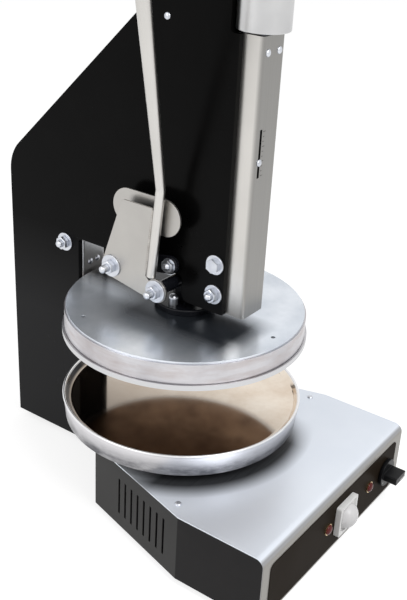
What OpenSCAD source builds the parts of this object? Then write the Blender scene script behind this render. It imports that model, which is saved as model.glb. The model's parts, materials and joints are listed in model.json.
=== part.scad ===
// Manual heated press for round dough: a spring-lifted upper plate on a vertical ram,
// pulled down over a heated pan by a lever and a knee link, on a C-shaped two-plate frame.
// Millimetres. The origin is on the underside of the base, on the press axis. Front is -Y, +Z is up.

/* [Base] */
// Width of the base across its parallel front part
base_w = 366; // [340:1:400]
// Height of the base without its feet
base_h = 97; // [85:1:110]
// Distance of the front face from the press axis
front_y = 260; // [240:1:280]
// Distance of the side bend in front of the press axis
bend_y = 134; // [110:1:160]
// Distance of the base's rear panel behind the press axis
rear_y = 43; // [35:1:60]
// Width of the base at its rear panel
rear_w = 266; // [230:1:300]
// Height of the rubber feet
foot_h = 10; // [6:0.5:14]
// Thickness of the base's sheet metal
sheet = 1.5; // [1:0.1:2]
// Outer radius of the fold between top and front
cover_bend_r = 12; // [8:0.5:16]

/* [Vents] */
// Number of vent slots in each tapered side
vent_count = 8; // [4:1:10]
// Distance between vent slots along the side
vent_pitch = 14; // [10:0.5:15]
// Width of a vent slot
vent_w = 4; // [2:0.5:6]
// Height of a vent slot
vent_h = 56; // [30:1:65]

/* [Controls] */
// Height of the row of controls above the base's lower edge
control_h = 43.5; // [38:0.5:50]
// Distance of the thermostat knob from the base's right side
knob_in = 46; // [40:1:60]
// Radius of the thermostat knob's skirt
knob_skirt_r = 20; // [15:0.5:22]
// Distance from the knob to the right lamp
lamp_right_gap = 46.5; // [42:0.5:60]
// Distance from the right lamp to the switch
switch_gap = 74; // [50:0.5:90]
// Distance from the switch to the left lamp
lamp_left_gap = 41.5; // [38:0.5:60]
// Side of the square switch bezel
switch_w = 46; // [44:1:50]
// Radius of a lamp's lens
lamp_r = 7; // [4:0.25:8]

/* [Lower pan] */
// Gap between the base's top and the pan
pan_gap = 14; // [8:0.5:20]
// Height of the pan from its lower edge to the top of its rim
pan_h = 32; // [26:0.5:40]
// Radius of the pan's wall at the rim
pan_rim_r = 165; // [150:0.5:180]
// How far the pan's wall draws in from its rim to its lower edge
pan_taper = 3; // [0:0.5:6]
// Depth of the pan inside its rim
pan_depth = 11; // [10:0.5:14]
// Thickness of the pan's heated floor
pan_floor_t = 9; // [6:0.5:12]
// Thickness of the pan's wall
pan_wall = 3; // [2:0.25:4]

/* [Upper plate] */
// Radius of the flange at the upper plate's lower edge
flange_r = 165; // [150:0.5:180]
// Height of the flange
flange_h = 7; // [5:0.5:10]
// Height of the upper plate from flange to top disc
upper_h = 37; // [32:0.5:45]
// Radius of the flat disc on top
disc_r = 160; // [150:0.5:165]
// Radius of the raised pressing face
boss_r = 145; // [120:1:148]
// Height of the raised pressing face below the flange
boss_h = 8; // [5:0.5:9]
// Clear height between pan rim and flange when open
open_gap = 96; // [80:0.5:100]

/* [Frame] */
// Gap between the ram and each frame plate
plate_gap = 8; // [6:0.25:12]
// Thickness of each frame plate
plate_t = 8; // [5:0.5:9]
// Width of the column from the throat to the frame's rear edge
column_w = 128; // [100:1:150]
// Height of the frame's top above the base's underside
frame_top = 690; // [650:1:750]
// Height of the throat's upper edge above the raised upper plate
throat_gap = 55; // [50:0.5:65]
// Height of the rear slope's lower corner above the throat's upper edge
slope_rise = 95; // [70:1:130]
// Radius of the rounded corner below the rear slope
rear_corner_r = 60; // [20:1:80]
// Distance of the arm's front edge in front of the press axis
arm_front_y = 79; // [75:0.5:90]
// How far the arm's front end hangs below the throat's upper edge
toe_h = 36; // [30:0.5:40]

/* [Lever] */
// Height of the fixed pivot above the throat's upper edge
pivot_rise = 13; // [12:0.5:20]
// Distance between the holes of the knee link, and of the lever's cheek
link_l = 75; // [70:0.5:80]
// Height of the lever's lower bolt below the fixed pivot, open
knee_fold = 27; // [24:0.25:30]
// Distance of the cheek's outer face from the frame plate
cheek_gap = 36; // [34:0.25:42]
// Height of the bend in the lever's rod above the fixed pivot
rod_rise = 109; // [95:1:125]
// Radius of the lower, straight part of the rod
rod_r = 6.25; // [5:0.25:7]
// Radius of the rod's thick upper end
rod_top_r = 9.25; // [7:0.25:11]
// Length of the rod above its bend
rod_l = 310; // [240:1:340]
// Lean of the rod's upper part, away from the frame
rod_lean = 15.7; // [10:0.1:18]
// Length of the hand grip
grip_l = 110; // [90:1:120]
// Radius of the hand grip
grip_r = 14; // [11:0.5:16]

/* [Thickness adjuster] */
// Distance of the spindle in front of the arm's front edge
spindle_ahead = 11; // [10:0.5:14]
// Radius of the spindle
spindle_r = 6; // [5:0.25:7]
// Radius of the adjuster's hand knob
hand_knob_r = 32; // [26:0.5:34]
// Height of the adjuster's hand knob
hand_knob_h = 40; // [25:1:45]
// Distance of the nose cover's upper end below the frame's top
nose_drop = 43; // [40:1:60]
// Distance of the pointer below the nose cover's upper end
pointer_drop = 147; // [130:0.5:160]

/* [Ram] */
// Radius of the ram's shaft
ram_r = 15; // [13:0.25:16]
// Radius of the hub that carries the upper plate
hub_r = 42; // [38:0.5:44]
// Height of the hub
hub_h = 8.5; // [6:0.5:10]
// Radius of the return spring's wire
spring_wire_r = 1.9; // [1.5:0.1:2]
// Number of curls of the return spring
spring_turns = 12; // [8:1:13]

/* [Hidden] */
$fn = 64;

// Colours
stainless = [0.80, 0.80, 0.79];
black_paint = [0.09, 0.09, 0.10];
side_paint = [0.22, 0.22, 0.22];
zinc = [0.88, 0.89, 0.91];
cast_alloy = [0.76, 0.77, 0.78];
dark_steel = [0.18, 0.18, 0.19];
rubber_black = [0.07, 0.07, 0.07];
switch_white = [0.93, 0.93, 0.91];
lamp_red = [0.70, 0.12, 0.10];
bronze = [0.66, 0.50, 0.28];

// Shared clearances and the overrun of every cut
overrun = 1;
run_fit = 0.05;
hole_fit = 0.2;
skin_gap = 0.3;
steps = 8;

// Heights that follow from the driving sizes
base_top = base_h;
floor_sheet_z = sheet;
cover_under = base_top - sheet;
pan_z = base_top + pan_gap;
rim_z = pan_z + pan_h;
pan_floor_z = rim_z - pan_depth;
flange_z = rim_z + open_gap;
disc_t = 3;
disc_top = flange_z + upper_h;
disc_z = disc_top - disc_t;
throat_z = disc_top + throat_gap;
slope_z = throat_z + slope_rise;
toe_z = throat_z - toe_h;
pivot_z = throat_z + pivot_rise;
rod_bend_z = pivot_z + rod_rise;
nose_top_z = frame_top - nose_drop;
pointer_z = nose_top_z - pointer_drop;

// The throat's rear edge clears the widest round piece where that passes the frame plates
throat_clear = 0.6;
gap_half = ram_r + plate_gap;
bead_r = 1.8;
widest_r = max(pan_rim_r + bead_r / 2, flange_r, disc_r, boss_r);
throat_y = sqrt(widest_r * widest_r - gap_half * gap_half) + throat_clear;
pan_low_r = pan_rim_r - pan_taper;
housing_in = 3;
housing_r = flange_r - housing_in;

// Side walls of the base
taper_run = [(base_w - rear_w) / 2, bend_y + rear_y];
taper_l = norm(taper_run);
taper_dir = taper_run / taper_l;
taper_turn = atan2(taper_run[0], taper_run[1]);
miter = sheet * tan(taper_turn / 2);
side_t = sheet / cos(taper_turn);
vent_top_drop = 21;
vent_first = 28;
corner_inset = 31;
foot_r = 12;
foot_lip = 2;
foot_edge_r = 2;
rear_foot_r = 18;
rear_foot_in = 41;
rear_foot_y = throat_y + rear_foot_in;

// Frame plates and what lies between them
half_w = gap_half + plate_t;
frame_w = 2 * half_w;
frame_rear_y = throat_y + column_w;
bridge_t = 10;
frame_arm_top = cover_under - bridge_t;
frame_arm_front = 70;
toe_rear_y = 14;
notch_in = 13;
notch_y = arm_front_y - notch_in;
slope_top_y = slope_z + frame_rear_y - frame_top;
corner_r = 12;
inner_corner_r = 6;
channel_half = gap_half;
channel_t = 1.5;
channel_bend_r = 4;

// Fasteners: M10 in the frame and lever, smaller ones on the covers
bolt_r = 5;
bolt_hole_r = bolt_r + hole_fit;
washer_r = 15;
frame_washer_r = 13;
washer_t = 2.5;
nut_r = 9.4;
nut_t = 8;
head_t = 6.5;
stud_end = 6.5;
lever_stud_end = 11;
stud_dome = 3;
column_bolt_in = 24;
column_bolt_drop = 11;
column_bolt_y = throat_y + column_bolt_in;
column_bolt_z = throat_z - column_bolt_drop;
nose_bolt_edge = 1;
nose_bolt_rise = 31;
nose_bolt_fall = 10;
nose_bolt_y = arm_front_y - frame_washer_r - nose_bolt_edge;
nose_bolt_high = throat_z + nose_bolt_rise;
nose_bolt_low = throat_z - nose_bolt_fall;
tube_r = 9;
small_r = 2;
small_hole_r = small_r + run_fit;
small_head_r = 4.5;
small_head_h = 2.4;

// Knee link, lever and ram bolt at the open rest pose
knee_y = sqrt(link_l * link_l - knee_fold * knee_fold / 4);
knee_z = pivot_z - knee_fold / 2;
ram_bolt_z = pivot_z - knee_fold;
link_t = 5;
link_w = 24;
link_gap = 4;
link_x = half_w + link_gap;
pivot_washer_r = 10;
pivot_washer_t = 1.5;
pivot_nut_t = 4.5;
pivot_end = 0.5;
low_head_t = 3;
cheek_x = half_w + cheek_gap;
cheek_t = 3;
cheek_round = 16;
back_flange_gap = 14;
back_flange_x = cheek_x - back_flange_gap;
back_flange_t = 3;
bush_r = 9;
closed_gap = 1;
stroke = open_gap - closed_gap;
open_turn = asin(knee_fold / link_l / 2);
closed_turn = asin((knee_fold + stroke) / link_l / 2);
slot_drop = link_l * 2 * sin((open_turn + closed_turn) / 2) - knee_fold - stroke / 2 + 2 * skin_gap;

// Rod: straight along the cheek's front edge, then leaning out and a little forwards
rod_in = 4;
rod_x = cheek_x - rod_in;
rod_low_y = 11;
rod_low_gap = 0.5;
rod_low = [-rod_x, rod_low_y, ram_bolt_z + cheek_round + rod_low_gap];
rod_knee = [-rod_x, 0, rod_bend_z];
rod_forward = 4.6;
rod_side = sin(rod_lean);
rod_front = sin(rod_forward);
rod_dir = [-rod_side, -rod_front, sqrt(1 - rod_side * rod_side - rod_front * rod_front)];
rod_end = rod_knee + rod_dir * rod_l;

// Ram, guides, stop and spring
guide_t = 30;
guide_half_y = 28;
guide_rise = 5;
upper_guide_rise = 60;
guide_z = throat_z + guide_rise;
upper_guide_z = throat_z + upper_guide_rise;
nut_half = 5;
arm_t = 12;
arm_half = 12;
arm_clear = 1;
stop_travel = 10;
stop_arm_z = pointer_z + nut_half + stop_travel + stroke + arm_clear;
ram_over = 6;
ram_top = stop_arm_z + arm_t + ram_over;
block_h = 24;
block_z = nose_top_z - block_h;
spring_z = upper_guide_z + guide_t;
spring_l = stop_arm_z - spring_z;
spring_r = (ram_r + gap_half) / 2;
spindle_y = arm_front_y + spindle_ahead;
stop_side_gap = 2.5;
stop_half_x = channel_half - channel_t - stop_side_gap;
slit_in = 5;
slit_x = slit_in - stop_half_x;
slit_w = 4.6;
slit_below = 19;
slit_above = 40;
slit_low = pointer_z - slit_below;
slit_high = pointer_z + slit_above;

// Polygon whose corners are rounded by circular arcs, one radius per corner
function unit(v) = v / norm(v);
function corner_arc(a, c, b, r) = r == 0 ? [c] : let(
  u = unit(a - c),
  v = unit(b - c),
  half = acos(u * v) / 2,
  o = c + unit(u + v) * r / sin(half),
  s = c + u * r / tan(half) - o,
  e = c + v * r / tan(half) - o,
  from = atan2(s[1], s[0]),
  turn = atan2(e[1], e[0]) - from,
  sweep = turn > 180 ? turn - 360 : turn < -180 ? turn + 360 : turn
) [for (k = [0:steps]) o + r * [cos(from + sweep * k / steps), sin(from + sweep * k / steps)]];
function rounded(pts, radii) = let(n = len(pts))
  [for (i = [0:n - 1]) each corner_arc(pts[(i + n - 1) % n], pts[i], pts[(i + 1) % n], radii[i])];
function mirror_x(p) = [-p[0], p[1]];

// An outline drawn in Y and Z, carried along X
module along_x(x, l) translate([x, 0, 0]) rotate([90, 0, 90]) linear_extrude(l) children();

// An outline drawn in X and Z, carried from y towards the front
module forwards(y, l) translate([0, y, 0]) rotate([90, 0, 0]) linear_extrude(l) children();

// A round bar along X
module bar_x(x, l, y, z, r) translate([x, y, z]) rotate([0, 90, 0]) cylinder(h = l, r = r);

// A round bar from y towards the front
module bar_front(x, y, z, l, r) translate([x, y, z]) rotate([90, 0, 0]) cylinder(h = l, r = r);

// A hexagon along X
module hex_x(x, l, y, z, r) translate([x, y, z]) rotate([0, 90, 0]) cylinder(h = l, r = r, $fn = 6);

// A bar from one point to another, with its own radius at each end
module bar_between(a, b, ra, rb) {
  d = b - a;
  translate(a)
    rotate([0, acos(d[2] / norm(d)), atan2(d[1], d[0])])
      cylinder(h = norm(d), r1 = ra, r2 = rb);
}

// A low dome that stands on the plane z = 0
module dome(r, h)
  rotate_extrude()
    polygon(concat([[0, 0]], [for (k = [0:steps]) [r * cos(90 * k / steps), h * sin(90 * k / steps)]]));

// A button-head screw whose head stands on the plane z = 0
module dome_screw(l) {
  rotate_extrude()
    polygon(concat(
      [[0, -l], [small_r, -l], [small_r, 0]],
      [for (k = [0:steps]) [small_head_r * cos(90 * k / steps), small_head_h * sin(90 * k / steps)]]
    ));
}

// Plan of the base, drawn in by a distance from its outer faces
function base_plan(inset) = let(
  side = inset / cos(taper_turn),
  bend_shift = inset * tan(taper_turn / 2),
  right = [
    [base_w / 2 - inset, -front_y + inset],
    [base_w / 2 - inset, -bend_y + bend_shift],
    [rear_w / 2 - side + inset * tan(taper_turn), rear_y - inset]
  ]
) concat(right, [for (i = [2:-1:0]) mirror_x(right[i])]);

cover_screw_in = 21;
cover_screw_back = 15;
cover_screw_y = bend_y - cover_screw_back;
pan_bolt_pcd_r = 30;
pan_bolt_turns = [60, 120, 240, 300];
pan_bolt_r = 4;
label_t = 0.8;
label_top_gap = 17;
label_low_gap = 4;
label_side_gap = 16;
label_corner_r = 8;
thermo_shaft_r = 3;
lamp_ring_w = 1.25;
lamp_ring_r = lamp_r + lamp_ring_w;
switch_body_w = 36;
knob_x = base_w / 2 - knob_in;
lamp_right_x = knob_x - lamp_right_gap;
switch_x = lamp_right_x - switch_gap;
lamp_left_x = switch_x - lamp_left_gap;
panel_y = -front_y;
control_z = control_h;

// Openings for the controls, through sheet and label
module control_holes() {
  translate([knob_x, control_z])
    circle(r = thermo_shaft_r + hole_fit * 2);
  translate([switch_x, control_z])
    square(switch_body_w + hole_fit * 2, center = true);
  for (x = [lamp_left_x, lamp_right_x])
    translate([x, control_z])
      circle(r = lamp_r + hole_fit);
}

// Stainless top and front, folded from one sheet
module base_cover() color(stainless) {
  inner_r = cover_bend_r - sheet;
  bend = [-front_y + cover_bend_r, base_top - cover_bend_r];
  difference() {
    union() {
      along_x(-base_w / 2, base_w)
        polygon(concat(
          [[-bend_y, cover_under], [-bend_y, base_top]],
          [for (k = [0:steps]) bend + cover_bend_r * [cos(90 + 90 * k / steps), sin(90 + 90 * k / steps)]],
          [[-front_y, 0], [-front_y + sheet, 0]],
          [for (k = [steps:-1:0]) bend + inner_r * [cos(90 + 90 * k / steps), sin(90 + 90 * k / steps)]]
        ));
      translate([0, 0, cover_under])
        linear_extrude(sheet)
          polygon([for (i = [1:4]) base_plan(0)[i]]);
    }
    for (s = [-1, 1])
      translate([s * (base_w / 2 - cover_screw_in), -cover_screw_y, cover_under - overrun])
        cylinder(h = sheet + 2 * overrun, r = small_hole_r);
    for (a = pan_bolt_turns)
      rotate(a)
        translate([pan_bolt_pcd_r, 0, cover_under - overrun])
          cylinder(h = sheet + 2 * overrun, r = pan_bolt_r + hole_fit);
    forwards(panel_y + sheet + overrun, sheet + 2 * overrun)
      control_holes();
  }
}

// Black side of the base: a parallel front part and a tapered part with vent slots
module side_panel() {
  outer = [[-base_w / 2, -bend_y], [-rear_w / 2, rear_y]];
  inward = [taper_dir[1], -taper_dir[0]];
  front = -front_y + sheet;
  bend = outer[0];
  difference() {
    union() {
      along_x(-base_w / 2, sheet)
        polygon(rounded(
          [[front, 0], [-bend_y, 0], [-bend_y, cover_under], [front, cover_under]],
          [0, 0, 0, cover_bend_r - sheet]
        ));
      linear_extrude(cover_under)
        polygon([bend, outer[1], outer[1] + inward * sheet, bend + [sheet, miter], bend + [sheet, 0]]);
    }
    for (i = [0:vent_count - 1]) {
      place = outer[1] - taper_dir * (taper_l - vent_first - (vent_count - 1 - i) * vent_pitch);
      translate([place[0], place[1], base_top - vent_top_drop - vent_h / 2])
        rotate(-taper_turn)
          cube([4 * sheet, vent_w, vent_h], center = true);
    }
  }
}
module side_panel_left() color(side_paint) side_panel();
module side_panel_right() color(side_paint) mirror([1, 0, 0]) side_panel();

gland_r = 9;
gland_in = 51;
gland_x = rear_w / 2 - gland_in;
gland_z = 40;

// Rear wall of the base, with slots for the frame and a hole for the gland
module rear_panel() color(side_paint) {
  half = rear_w / 2 - side_t;
  slot_h = frame_arm_top - floor_sheet_z;
  difference() {
    translate([-half, rear_y - sheet, floor_sheet_z])
      cube([2 * half, sheet, cover_under - floor_sheet_z]);
    for (s = [-1, 1])
      translate([s * (half_w - plate_t / 2), rear_y, floor_sheet_z + slot_h / 2])
        cube([plate_t + 2 * skin_gap, 4 * sheet, slot_h + 2 * skin_gap], center = true);
    translate([gland_x, rear_y + overrun, gland_z])
      rotate([90, 0, 0])
        cylinder(h = sheet + 2 * overrun, r = gland_r + run_fit);
  }
}

// Places of the four feet under the base
foot_places = [for (s = [-1, 1]) each [
  [s * (base_w / 2 - corner_inset), -front_y + corner_inset],
  [s * (rear_w / 2 - corner_inset), rear_y - corner_inset]
]];

// Floor of the base, with a hole for each foot
module bottom_plate() color(dark_steel)
  linear_extrude(sheet)
    difference() {
      polygon(base_plan(sheet));
      for (p = foot_places)
        translate(p)
          circle(r = foot_r + skin_gap);
    }

// Turned foot with a rounded lower edge
module foot(r, h) translate([0, 0, -foot_h])
  rotate_extrude()
    polygon(rounded([[0, 0], [r - foot_edge_r / 2, 0], [r, h], [0, h]], [0, foot_edge_r, 0, 0]));

// Four push-in feet: each goes through the floor and rests on it with a lip
module rubber_feet() color(rubber_black)
  for (p = foot_places)
    translate(p) {
      foot(foot_r, foot_h);
      cylinder(h = sheet + foot_lip, r = foot_r);
      translate([0, 0, sheet])
        cylinder(h = foot_lip, r = foot_r + foot_lip);
    }

// Pale foot under the column
module column_foot() color(switch_white)
  translate([0, rear_foot_y, 0])
    foot(rear_foot_r, foot_h + floor_sheet_z);

// Dark label plate on the front
module label_panel() color(black_paint) {
  low = label_low_gap;
  high = base_top - label_top_gap;
  side = base_w / 2 - label_side_gap;
  outline = [[-side, low], [side, low], [side, high], [-side, high]];
  forwards(panel_y, label_t)
    difference() {
      polygon(rounded(outline, [for (i = [0:3]) label_corner_r]));
      control_holes();
    }
}

cover_screw_l = 8;

// Button-head screws of the covers: on the base, on the column and on the nose
module cover_screws() color(zinc)
  for (s = [-1, 1]) {
    translate([s * (base_w / 2 - cover_screw_in), -cover_screw_y, base_top])
      dome_screw(cover_screw_l);
    translate([s * column_screw_x, column_front, column_screw_z])
      rotate([90, 0, 0])
        dome_screw(cover_screw_l);
    translate([s * nose_screw_x, nose_front, nose_screw_z])
      rotate([90, 0, 0])
        dome_screw(cover_screw_l);
  }

control_y = panel_y - label_t;
knob_gap = 1;
knob_skirt_t = 5;
knob_bar_w = 11;
knob_bar_l = 30;
knob_out = 26;
thermo_w = 40;
thermo_l = 45;

// Thermostat knob: a skirt and a bar grip
module thermostat_knob() color(rubber_black)
  difference() {
    union() {
      bar_front(knob_x, control_y - knob_gap, control_z, knob_skirt_t, knob_skirt_r);
      forwards(control_y - knob_gap - knob_skirt_t, knob_out - knob_gap - knob_skirt_t)
        translate([knob_x, control_z])
          polygon(rounded(
            [[-knob_bar_l / 2, -knob_bar_w / 2], [knob_bar_l / 2, -knob_bar_w / 2],
             [knob_bar_l / 2, knob_bar_w / 2], [-knob_bar_l / 2, knob_bar_w / 2]],
            [for (i = [0:3]) knob_bar_w / 4]
          ));
    }
    bar_front(knob_x, control_y, control_z, knob_out / 2, thermo_shaft_r + run_fit);
  }

// Steel shaft that carries the knob
module thermostat_shaft() color(zinc) {
  rear = panel_y + sheet + thermo_l / 2;
  bar_front(knob_x, rear, control_z, rear - control_y + knob_out / 2 - knob_gap, thermo_shaft_r);
}

// Thermostat behind the panel
module thermostat_body() color(dark_steel)
  difference() {
    translate([knob_x - thermo_w / 2, panel_y + sheet, control_z - thermo_w / 2])
      cube([thermo_w, thermo_l, thermo_w]);
    translate([0, sheet + thermo_l / 2 + skin_gap, 0])
      bar_front(knob_x, panel_y, control_z, thermo_l, thermo_shaft_r + run_fit);
  }

bezel_t = 8;
bezel_wall = 4;
bezel_recess = 3;
bezel_corner_r = 3;
boot_r = 18;
boot_rim_t = 2;
boot_h = 15;
boot_seat_y = control_y - bezel_t + bezel_recess;
boot_t = 1.2;
button_r = 11;
button_t = 5;
plunger_r = 8;
plunger_l = 14;
button_travel = 3;
switch_body_l = 32;

// Square white bezel round the switch, with a raised edge
module switch_bezel() color(switch_white) {
  half = switch_w / 2;
  difference() {
    forwards(control_y, bezel_t)
      translate([switch_x, control_z])
        difference() {
          polygon(rounded(
            [[-half, -half], [half, -half], [half, half], [-half, half]],
            [for (i = [0:3]) bezel_corner_r]
          ));
          circle(r = boot_r + run_fit);
        }
    forwards(boot_seat_y, bezel_recess + overrun)
      translate([switch_x, control_z])
        square(switch_w - 2 * bezel_wall, center = true);
  }
}

// Clear splash boot: a domed shell with a rim in the bezel
module switch_boot() color(switch_white, 0.5) {
  inner_r = boot_r - boot_t;
  inner_h = boot_h - boot_t;
  arc = [for (k = [0:steps]) [cos(90 * k / steps), sin(90 * k / steps)]];
  translate([switch_x, boot_seat_y + boot_rim_t, control_z])
    rotate([90, 0, 0])
      rotate_extrude()
        polygon(concat(
          [[inner_r, 0], [boot_r, 0], [boot_r, boot_rim_t]],
          [for (k = [0:steps]) [boot_r * arc[k][0], boot_rim_t + boot_h * arc[k][1]]],
          [for (k = [steps:-1:0]) [inner_r * arc[k][0], boot_rim_t + inner_h * arc[k][1]]]
        ));
}

// Push button under the boot, on its plunger
module switch_button() color(switch_white) {
  face_y = boot_seat_y - boot_h / 2;
  plunger_end = panel_y + sheet + plunger_l - button_travel - 2 * skin_gap;
  bar_front(switch_x, face_y + button_t, control_z, button_t, button_r);
  bar_front(switch_x, plunger_end, control_z, plunger_end - face_y - button_t / 2, plunger_r);
}

// Switch behind the bezel
module switch_body() color(dark_steel)
  difference() {
    translate([switch_x - switch_body_w / 2, control_y, control_z - switch_body_w / 2])
      cube([switch_body_w, switch_body_l, switch_body_w]);
    bar_front(switch_x, panel_y + sheet + plunger_l, control_z, plunger_l + 4 * sheet, plunger_r + run_fit);
  }

lamp_ring_t = 1.5;
lamp_dome = 4;
lamp_l = 24;

// Red domed lenses
module lamp_lenses() color(lamp_red)
  for (x = [lamp_left_x, lamp_right_x])
    translate([x, control_y - lamp_ring_t, control_z])
      rotate([90, 0, 0])
        dome(lamp_r, lamp_dome);

// Lamp bodies: a bright ring in front and a barrel behind the panel
module lamp_bodies() color(bronze)
  for (x = [lamp_left_x, lamp_right_x]) {
    bar_front(x, control_y, control_z, lamp_ring_t, lamp_ring_r);
    bar_front(x, control_y + lamp_l, control_z, lamp_l, lamp_r);
  }

gland_flange_r = 14;
gland_l = 18;
gland_bore_r = 4.5;

// Cable gland in the rear panel
module cable_gland() color(rubber_black)
  difference() {
    union() {
      bar_front(gland_x, rear_y + gland_l, gland_z, gland_l, gland_flange_r);
      bar_front(gland_x, rear_y, gland_z, gland_l, gland_r);
    }
    bar_front(gland_x, rear_y + gland_l + overrun, gland_z, 2 * (gland_l + overrun), gland_bore_r);
  }

pedestal_r = 40;
pedestal_wall = 20;
bridge_half_x = 50;
bolt_head_h = 5;
bolt_head_r = 6.5;

// Ring that holds the pan above the base
module pan_pedestal() color(dark_steel)
  difference() {
    translate([0, 0, base_top])
      cylinder(h = pan_floor_z - pan_floor_t - base_top, r = pedestal_r);
    translate([0, 0, base_top - overrun])
      cylinder(h = pan_h + pan_gap, r = pedestal_r - pedestal_wall);
    for (a = pan_bolt_turns)
      rotate(a)
        translate([pan_bolt_pcd_r, 0, base_top - overrun])
          cylinder(h = pan_h + pan_gap, r = pan_bolt_r + run_fit);
  }

// Screws up through the bridge and the ring into the pan's floor
module pan_bolts() color(zinc)
  for (a = pan_bolt_turns)
    rotate(a)
      translate([pan_bolt_pcd_r, 0, frame_arm_top - bolt_head_h]) {
        cylinder(h = bolt_head_h, r = bolt_head_r, $fn = 6);
        cylinder(h = pan_floor_z - pan_floor_t / 2 - frame_arm_top + bolt_head_h, r = pan_bolt_r);
      }

floor_fillet_r = 8;
pan_slope_in = 6;
pan_inner_r = pan_rim_r - pan_wall - pan_slope_in;

// Spun pan: heated floor, sloped wall inside, skirt outside and a rolled rim
module lower_pan() color(cast_alloy) {
  under = pan_floor_z - pan_floor_t;
  skirt_r = pan_low_r - pan_wall;
  difference() {
    rotate_extrude($fn = 128)
      union() {
        polygon(rounded(
          [[0, under], [skirt_r, under], [skirt_r, pan_z],
           [pan_low_r, pan_z], [pan_rim_r, rim_z - bead_r], [pan_rim_r - pan_wall, rim_z - bead_r],
           [pan_inner_r, pan_floor_z], [0, pan_floor_z]],
          [0, 0, 0, 0, 0, 0, floor_fillet_r, 0]
        ));
        translate([pan_rim_r - bead_r / 2, rim_z - bead_r])
          circle(r = bead_r, $fn = 24);
      }
    for (a = pan_bolt_turns)
      rotate(a)
        translate([pan_bolt_pcd_r, 0, under - overrun])
          cylinder(h = pan_floor_t / 2 + overrun + run_fit, r = pan_bolt_r + run_fit);
  }
}

element_r = 4;
element_off = 30;
element_edge = 27;
element_rings = [pedestal_r + element_off, boss_r - element_edge];

// Tubular heating element: two rings joined by a short bridge
module element_rings_at(z) color(dark_steel) {
  for (r = element_rings)
    translate([0, 0, z])
      rotate_extrude($fn = 96)
        translate([r, 0])
          circle(r = element_r, $fn = 24);
  translate([0, -element_rings[0], z])
    rotate([90, 0, 0])
      cylinder(h = element_rings[1] - element_rings[0], r = element_r);
}
module lower_element() element_rings_at(pan_floor_z - pan_floor_t - element_r - run_fit);

// One C-shaped plate with the holes for its bolts and its pivot
module frame_plate(x) {
  difference() {
    along_x(x, plate_t)
      polygon(rounded(
        [[-arm_front_y, toe_z], [-toe_rear_y, toe_z], [-toe_rear_y, throat_z], [throat_y, throat_z],
         [throat_y, frame_arm_top], [-frame_arm_front, frame_arm_top], [-frame_arm_front, floor_sheet_z],
         [frame_rear_y, floor_sheet_z], [frame_rear_y, slope_z], [slope_top_y, frame_top],
         [-notch_y, frame_top], [-notch_y, nose_top_z], [-arm_front_y, nose_top_z]],
        [0, corner_r, inner_corner_r, inner_corner_r, inner_corner_r, 0, 0,
         0, rear_corner_r, corner_r, 0, inner_corner_r, 0]
      ));
    bar_x(x - overrun, plate_t + 2 * overrun, column_bolt_y, column_bolt_z, bolt_hole_r);
    for (z = [nose_bolt_low, nose_bolt_high])
      bar_x(x - overrun, plate_t + 2 * overrun, -nose_bolt_y, z, bolt_hole_r);
    bar_x(x - overrun, plate_t + 2 * overrun, top_screw_y, top_screw_z, small_hole_r);
  }
}
module frame_plate_left() color(black_paint)
  difference() {
    frame_plate(-half_w);
    bar_x(-half_w - overrun, plate_t + 2 * overrun, 0, pivot_z, bolt_r + run_fit);
  }
module frame_plate_right() color(black_paint) frame_plate(gap_half);

top_screw_in = 6;
top_screw_drop = 38;
top_screw_y = slope_top_y - top_screw_in;
top_screw_z = frame_top - top_screw_drop;
crossbar_w = 40;
crossbar_h = 20;

// Bars welded between the plates, and the thick plate on their lower arms that carries the pan
module frame_crossbars() color(black_paint) {
  for (y = [rear_foot_y - crossbar_w / 2, -frame_arm_front])
    translate([-gap_half, y, floor_sheet_z])
      cube([2 * gap_half, crossbar_w, crossbar_h]);
  difference() {
    bar_x(-gap_half, 2 * gap_half, top_screw_y, top_screw_z, tube_r);
    bar_x(-gap_half - overrun, 2 * (gap_half + overrun), top_screw_y, top_screw_z, small_hole_r);
  }
  difference() {
    translate([-bridge_half_x, -frame_arm_front, frame_arm_top])
      cube([2 * bridge_half_x, frame_arm_front + rear_y - 2 * sheet, bridge_t]);
    for (a = pan_bolt_turns)
      rotate(a)
        translate([pan_bolt_pcd_r, 0, frame_arm_top - overrun])
          cylinder(h = bridge_t + 2 * overrun, r = pan_bolt_r + run_fit);
  }
}

// Places of the through-bolts in Y and Z: column, low on the nose, high on the nose
bolt_places = [[column_bolt_y, column_bolt_z], [-nose_bolt_y, nose_bolt_low], [-nose_bolt_y, nose_bolt_high]];

// Tubes round the through-bolts, between the plates or their channels
module frame_spacers() color(dark_steel) {
  half = gap_half - channel_t;
  for (p = bolt_places)
    difference() {
      bar_x(-half, 2 * half, p[0], p[1], tube_r);
      bar_x(-half - overrun, 2 * (half + overrun), p[0], p[1], bolt_hole_r);
    }
  difference() {
    bar_x(-link_x, link_gap, 0, pivot_z, tube_r);
    bar_x(-link_x - overrun, link_gap + 2 * overrun, 0, pivot_z, bolt_r + run_fit);
  }
}

// Domed free end of a threaded bolt, along -X from x
module stud_dome_at(x, y, z) {
  translate([x, y, z])
    rotate([0, -90, 0])
      dome(bolt_r, stud_dome);
}

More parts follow.
